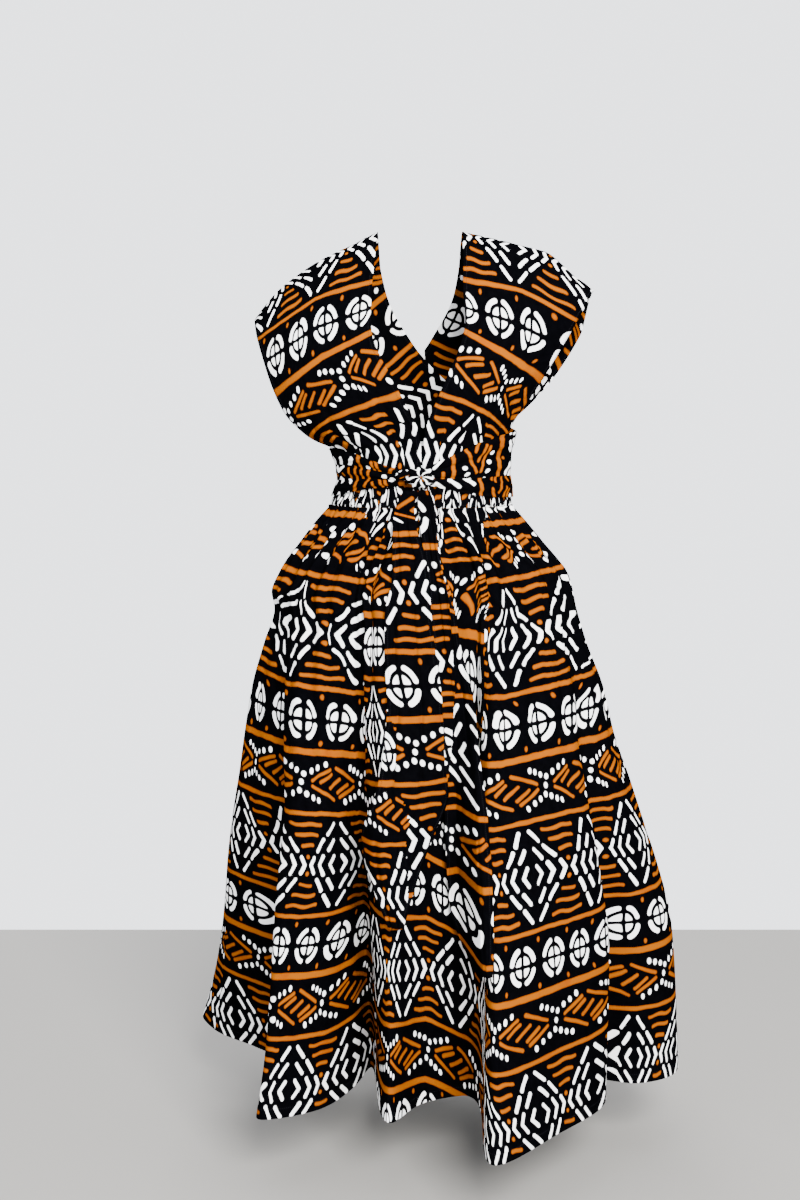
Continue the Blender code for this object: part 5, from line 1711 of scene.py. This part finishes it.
# Lengths along the cloth at heights, for the parts of the tails that show
LEFT_TAIL_MAIN = (
    (-0.430, 0.035), (-0.4425, 0.048), (-0.490, 0.096), (-0.668, 0.257),
    (-0.770, 0.355), (-0.865, 0.451), (-1.080, 0.660),
)
LEFT_TAIL_UNDER = ((-0.430, -0.080), (-0.864, 0.355), (-0.953, 0.451), (-1.080, 0.578))
RIGHT_TAIL_UP = (
    (-0.430, -0.080), (-0.510, 0.000), (-0.600, 0.096),
    (-0.768, 0.257), (-0.862, 0.355), (-1.130, 0.620),
)
RIGHT_TAIL_DOWN = (
    (-0.430, 0.920), (-0.637, 0.710), (-0.738, 0.612),
    (-0.908, 0.451), (-1.007, 0.355), (-1.130, 0.240),
)

right_tail, right_tail_grid = make_tail(
    "right_tail", "tail_right", TAIL_RIGHT, 1, (0.42, 0.72),
    ((RIGHT_TAIL_UP, 0.0065, -0.560, 0.25, 0.5, 1.0), (RIGHT_TAIL_DOWN, 0.0449, -0.960, 0.20, 0.25, -1.2)),
    ((-0.43, 0.98), (-0.55, 0.90), (-0.66, 0.72), (-0.76, 0.42), (-0.86, 0.16), (-0.90, 0.00), (-1.13, 0.00)),
)
left_tail, left_tail_grid = make_tail(
    "left_tail", "tail_left", TAIL_LEFT, 2, (0.20, 0.62),
    (
        (LEFT_TAIL_UNDER, -0.0380, -0.912, 0.20, -0.25, 1.65),
        (LEFT_TAIL_MAIN, -0.0047, -0.680, 0.20, 0.5, 1.0),
    ),
    ((-0.43, 0.00), (-0.76, 0.00), (-0.79, 0.20), (-0.87, 0.24), (-0.92, 0.56), (-0.98, 0.70), (-1.08, 1.00)),
)


# %% [markdown]
# ## Pocket bags
#
# The photo shows no pocket opening. Below the waist the skirt stands out at both sides, as over
# pockets in use, so pockets are taken to be there. The side seams are left open at that height
# and a bag of plain black cotton hangs inside each.


# %% Pockets
POCKET_SET_IN, POCKET_WALL = 0.0012, 0.0004
MOUTH_TOP, MOUTH_BOTTOM = -0.4780, -0.5820
# Rings of the bag from its mouth: inward, forward, down, how tall, how wide, tilt in degrees
POCKET_RINGS = (
    (0.0, 0.0, 0.0, 1.0, 1.0, 0), (0.022, 0.000, 0.008, 0.90, 0.62, 10),
    (0.050, 0.000, 0.030, 0.86, 0.62, 32), (0.066, -0.006, 0.075, 0.78, 0.66, 60),
    (0.070, -0.014, 0.125, 0.66, 0.64, 84), (0.068, -0.020, 0.170, 0.45, 0.50, 90),
    (0.067, -0.021, 0.178, 0.10, 0.10, 90),
)


def make_pocket(name, node_name, side):
    """A bag whose mouth lies behind the opening in the side seam."""
    heights = np.linspace(MOUTH_TOP, MOUTH_BOTTOM, 9)
    edges = []
    for front in (True, False):
        start, end = (0.0, FRONT_END) if front else (FRONT_END, AROUND)
        u = np.array([start + SEAM_GAP / 2, end - SEAM_GAP / 2])
        grid = skirt_surface(u, heights, start, end, front)
        edges.append(grid[:, 0 if (side < 0) == front else 1])
    loop = np.concatenate([edges[0], edges[1][::-1]])
    loop[:, 0] -= side * (0.001 + SEAM_GAP + POCKET_SET_IN)
    centre = loop.mean(axis=0)
    rings = []
    for inward, forward, down, tall, wide, tilt in POCKET_RINGS:
        away = loop - centre
        angle = math.radians(tilt)
        ring = np.empty_like(away)
        ring[:, 0] = away[:, 0] * (1.0 if tilt == 0 else 0.3 * (1 - tilt / 90))
        ring[:, 1] = away[:, 1] * wide
        ring[:, 2] = away[:, 2] * tall * math.cos(angle)
        if tilt:
            ring[:, 0] += side * away[:, 2] * tall * math.sin(angle) * 0.55
        rings.append(ring + centre + np.array([-side * inward, forward, -down]))
    rings = np.array(rings)
    fine = np.linspace(0, len(rings) - 1, 31)
    flat = rings.reshape(len(rings), -1)
    grid = through(np.arange(len(rings)), flat, fine).reshape(len(fine), -1, 3)
    width = lengths_across(grid)
    down = lengths_down(grid)
    places = np.stack([width, down], axis=-1)
    item = cloth_from_grid(name, grid, places, look=POCKET_CLOTH, closed=True, wall=POCKET_WALL)
    settle(item, node_name)
    measure(item, grid)
    return item


left_pocket = make_pocket("left_pocket", "pocket_left", -1)
right_pocket = make_pocket("right_pocket", "pocket_right", 1)

# %% [markdown]
# ## Stitches
#
# The hem, the straps' edges, the tails' edges, the pocket mouths and the waistband are sewn by
# machine in black thread, about three millimetres a stitch. Geometry Nodes lay one small
# stitch after another along lines on the cloth. A stitch goes through, so it shows on both faces.


# %% Stitches as a node tree
STITCH_SPACING, STITCH_LENGTH, STITCH_WIDTH = 0.0032, 0.0025, 0.0010
FACES_OF_A_STITCH = 20


def make_stitch_tree():
    """Stitches along the edges of a mesh of lines."""
    sizes = (("Spacing", "Float"), ("Length", "Float"), ("Width", "Float"))
    ins = (("Lines", "Geometry"), *sizes, ("Thread", "Material"))
    outs = (("Stitches", "Geometry"),)
    tree, given, result = new_group("stitches", "GeometryNodeTree", ins, outs)
    curve = node(tree, "GeometryNodeMeshToCurve")
    feed(tree, curve.inputs["Mesh"], given.outputs["Lines"])
    points = node(tree, "GeometryNodeCurveToPoints", mode="LENGTH")
    feed(tree, points.inputs["Curve"], curve.outputs["Curve"])
    feed(tree, points.inputs["Length"], given.outputs["Spacing"])
    turn = node(tree, "FunctionNodeAlignRotationToVector", axis="Z")
    feed(tree, turn.inputs["Vector"], points.outputs["Tangent"])
    size = node(tree, "ShaderNodeCombineXYZ")
    feed(tree, size.inputs[0], given.outputs["Width"])
    feed(tree, size.inputs[1], given.outputs["Width"])
    feed(tree, size.inputs[2], given.outputs["Length"])
    bead = node(tree, "GeometryNodeMeshIcoSphere")
    bead.inputs["Radius"].default_value = 0.5
    bead.inputs["Subdivisions"].default_value = 1
    laid = node(tree, "GeometryNodeInstanceOnPoints")
    feed(tree, laid.inputs["Points"], points.outputs["Points"])
    feed(tree, laid.inputs["Instance"], bead.outputs["Mesh"])
    feed(tree, laid.inputs["Rotation"], turn.outputs["Rotation"])
    feed(tree, laid.inputs["Scale"], size.outputs["Vector"])
    real = node(tree, "GeometryNodeRealizeInstances")
    feed(tree, real.inputs["Geometry"], laid.outputs["Instances"])
    dyed = node(tree, "GeometryNodeSetMaterial")
    feed(tree, dyed.inputs["Geometry"], real.outputs["Geometry"])
    feed(tree, dyed.inputs["Material"], given.outputs["Thread"])
    feed(tree, result.inputs["Stitches"], dyed.outputs["Geometry"])
    return tree


STITCH_TREE = make_stitch_tree()
THREAD = make_plain_cloth("black_thread", (0.004, 0.004, 0.005, 1))
print("stitch tree:", len(STITCH_TREE.nodes), "nodes")


# %% [markdown]
# A row of stitches follows a line on the finished cloth. The line is read off the piece's own
# grid, at a height or at a distance from an edge, so that it keeps to the cloth's folds.


# %% Lines to sew along
def along_height(grid, heights, height):
    """The line on a panel at one height."""
    flat = grid.reshape(len(heights), -1)
    order = np.argsort(heights)
    line = [np.interp(height, heights[order], flat[order, k]) for k in range(flat.shape[1])]
    return np.array(line).reshape(-1, 3)


def along_edge(grid, distance, far=False):
    """The line at a distance from a piece's first or last edge, down its whole length."""
    width = lengths_across(grid)
    line = []
    for row, reach in zip(grid, width):
        at = reach[-1] - distance if far else distance
        line.append([np.interp(at, reach, row[:, k]) for k in range(3)])
    return np.array(line)


def along_both(grids, distance, rows):
    """The lines along both long edges of each grid, for some of its rows."""
    return [along_edge(grid, distance, far)[rows] for grid in grids for far in (False, True)]


def sew(name, lines):
    """Stitches along lines, as a finished mesh."""
    points = []
    edges = []
    for line in lines:
        first = len(points)
        points += [tuple(p) for p in line]
        edges += [(first + i, first + i + 1) for i in range(len(line) - 1)]
    mesh = bpy.data.meshes.new(name + "_lines")
    mesh.from_pydata(points, edges, [])
    guide = put_in(name + "_lines", mesh)
    sewing = guide.modifiers.new("Sewing", "NODES")
    sewing.node_group = STITCH_TREE
    sockets = {s.name: s.identifier for s in STITCH_TREE.interface.items_tree if s.in_out == "INPUT"}
    sewing[sockets["Spacing"]] = STITCH_SPACING
    sewing[sockets["Length"]] = STITCH_LENGTH
    sewing[sockets["Width"]] = STITCH_WIDTH
    sewing[sockets["Thread"]] = THREAD
    ready = guide.evaluated_get(bpy.context.evaluated_depsgraph_get())
    sewn = bpy.data.meshes.new_from_object(ready)
    guide.modifiers.remove(sewing)
    bpy.data.objects.remove(guide)
    sewn.name = name
    item = put_in(name, sewn)
    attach(item, "root")
    print(f"{name}: {len(sewn.polygons) // FACES_OF_A_STITCH} stitches")


# %% Sewing
HEM_INSET, STRAP_INSET, TAIL_INSET, MOUTH_INSET = 0.002, 0.001, 0.005, 0.006
SKIRT_HEIGHTS = skirt_heights()
hem_height = HEM_LINE + HEM_DEPTH - HEM_INSET
hem_lines = [along_height(grid, SKIRT_HEIGHTS, hem_height) for grid in (front_grid, back_grid)]
sew("hem_stitches", hem_lines)

strap_grids = [grid for item, grid in strap_parts]
sew("strap_stitches", along_both(strap_grids, EDGE_DEPTH - STRAP_INSET, slice(3, None)))
sew("tail_stitches", along_both((left_tail_grid, right_tail_grid), TAIL_INSET, slice(10, -3)))

mouth = (SKIRT_HEIGHTS < MOUTH_TOP + 0.002) & (SKIRT_HEIGHTS > MOUTH_BOTTOM - 0.002)
sew("pocket_stitches", along_both((front_grid, back_grid), MOUTH_INSET, mouth))

ring = waist_grid[-2]
sew("waist_stitches", [np.vstack([ring, ring[:1]])])
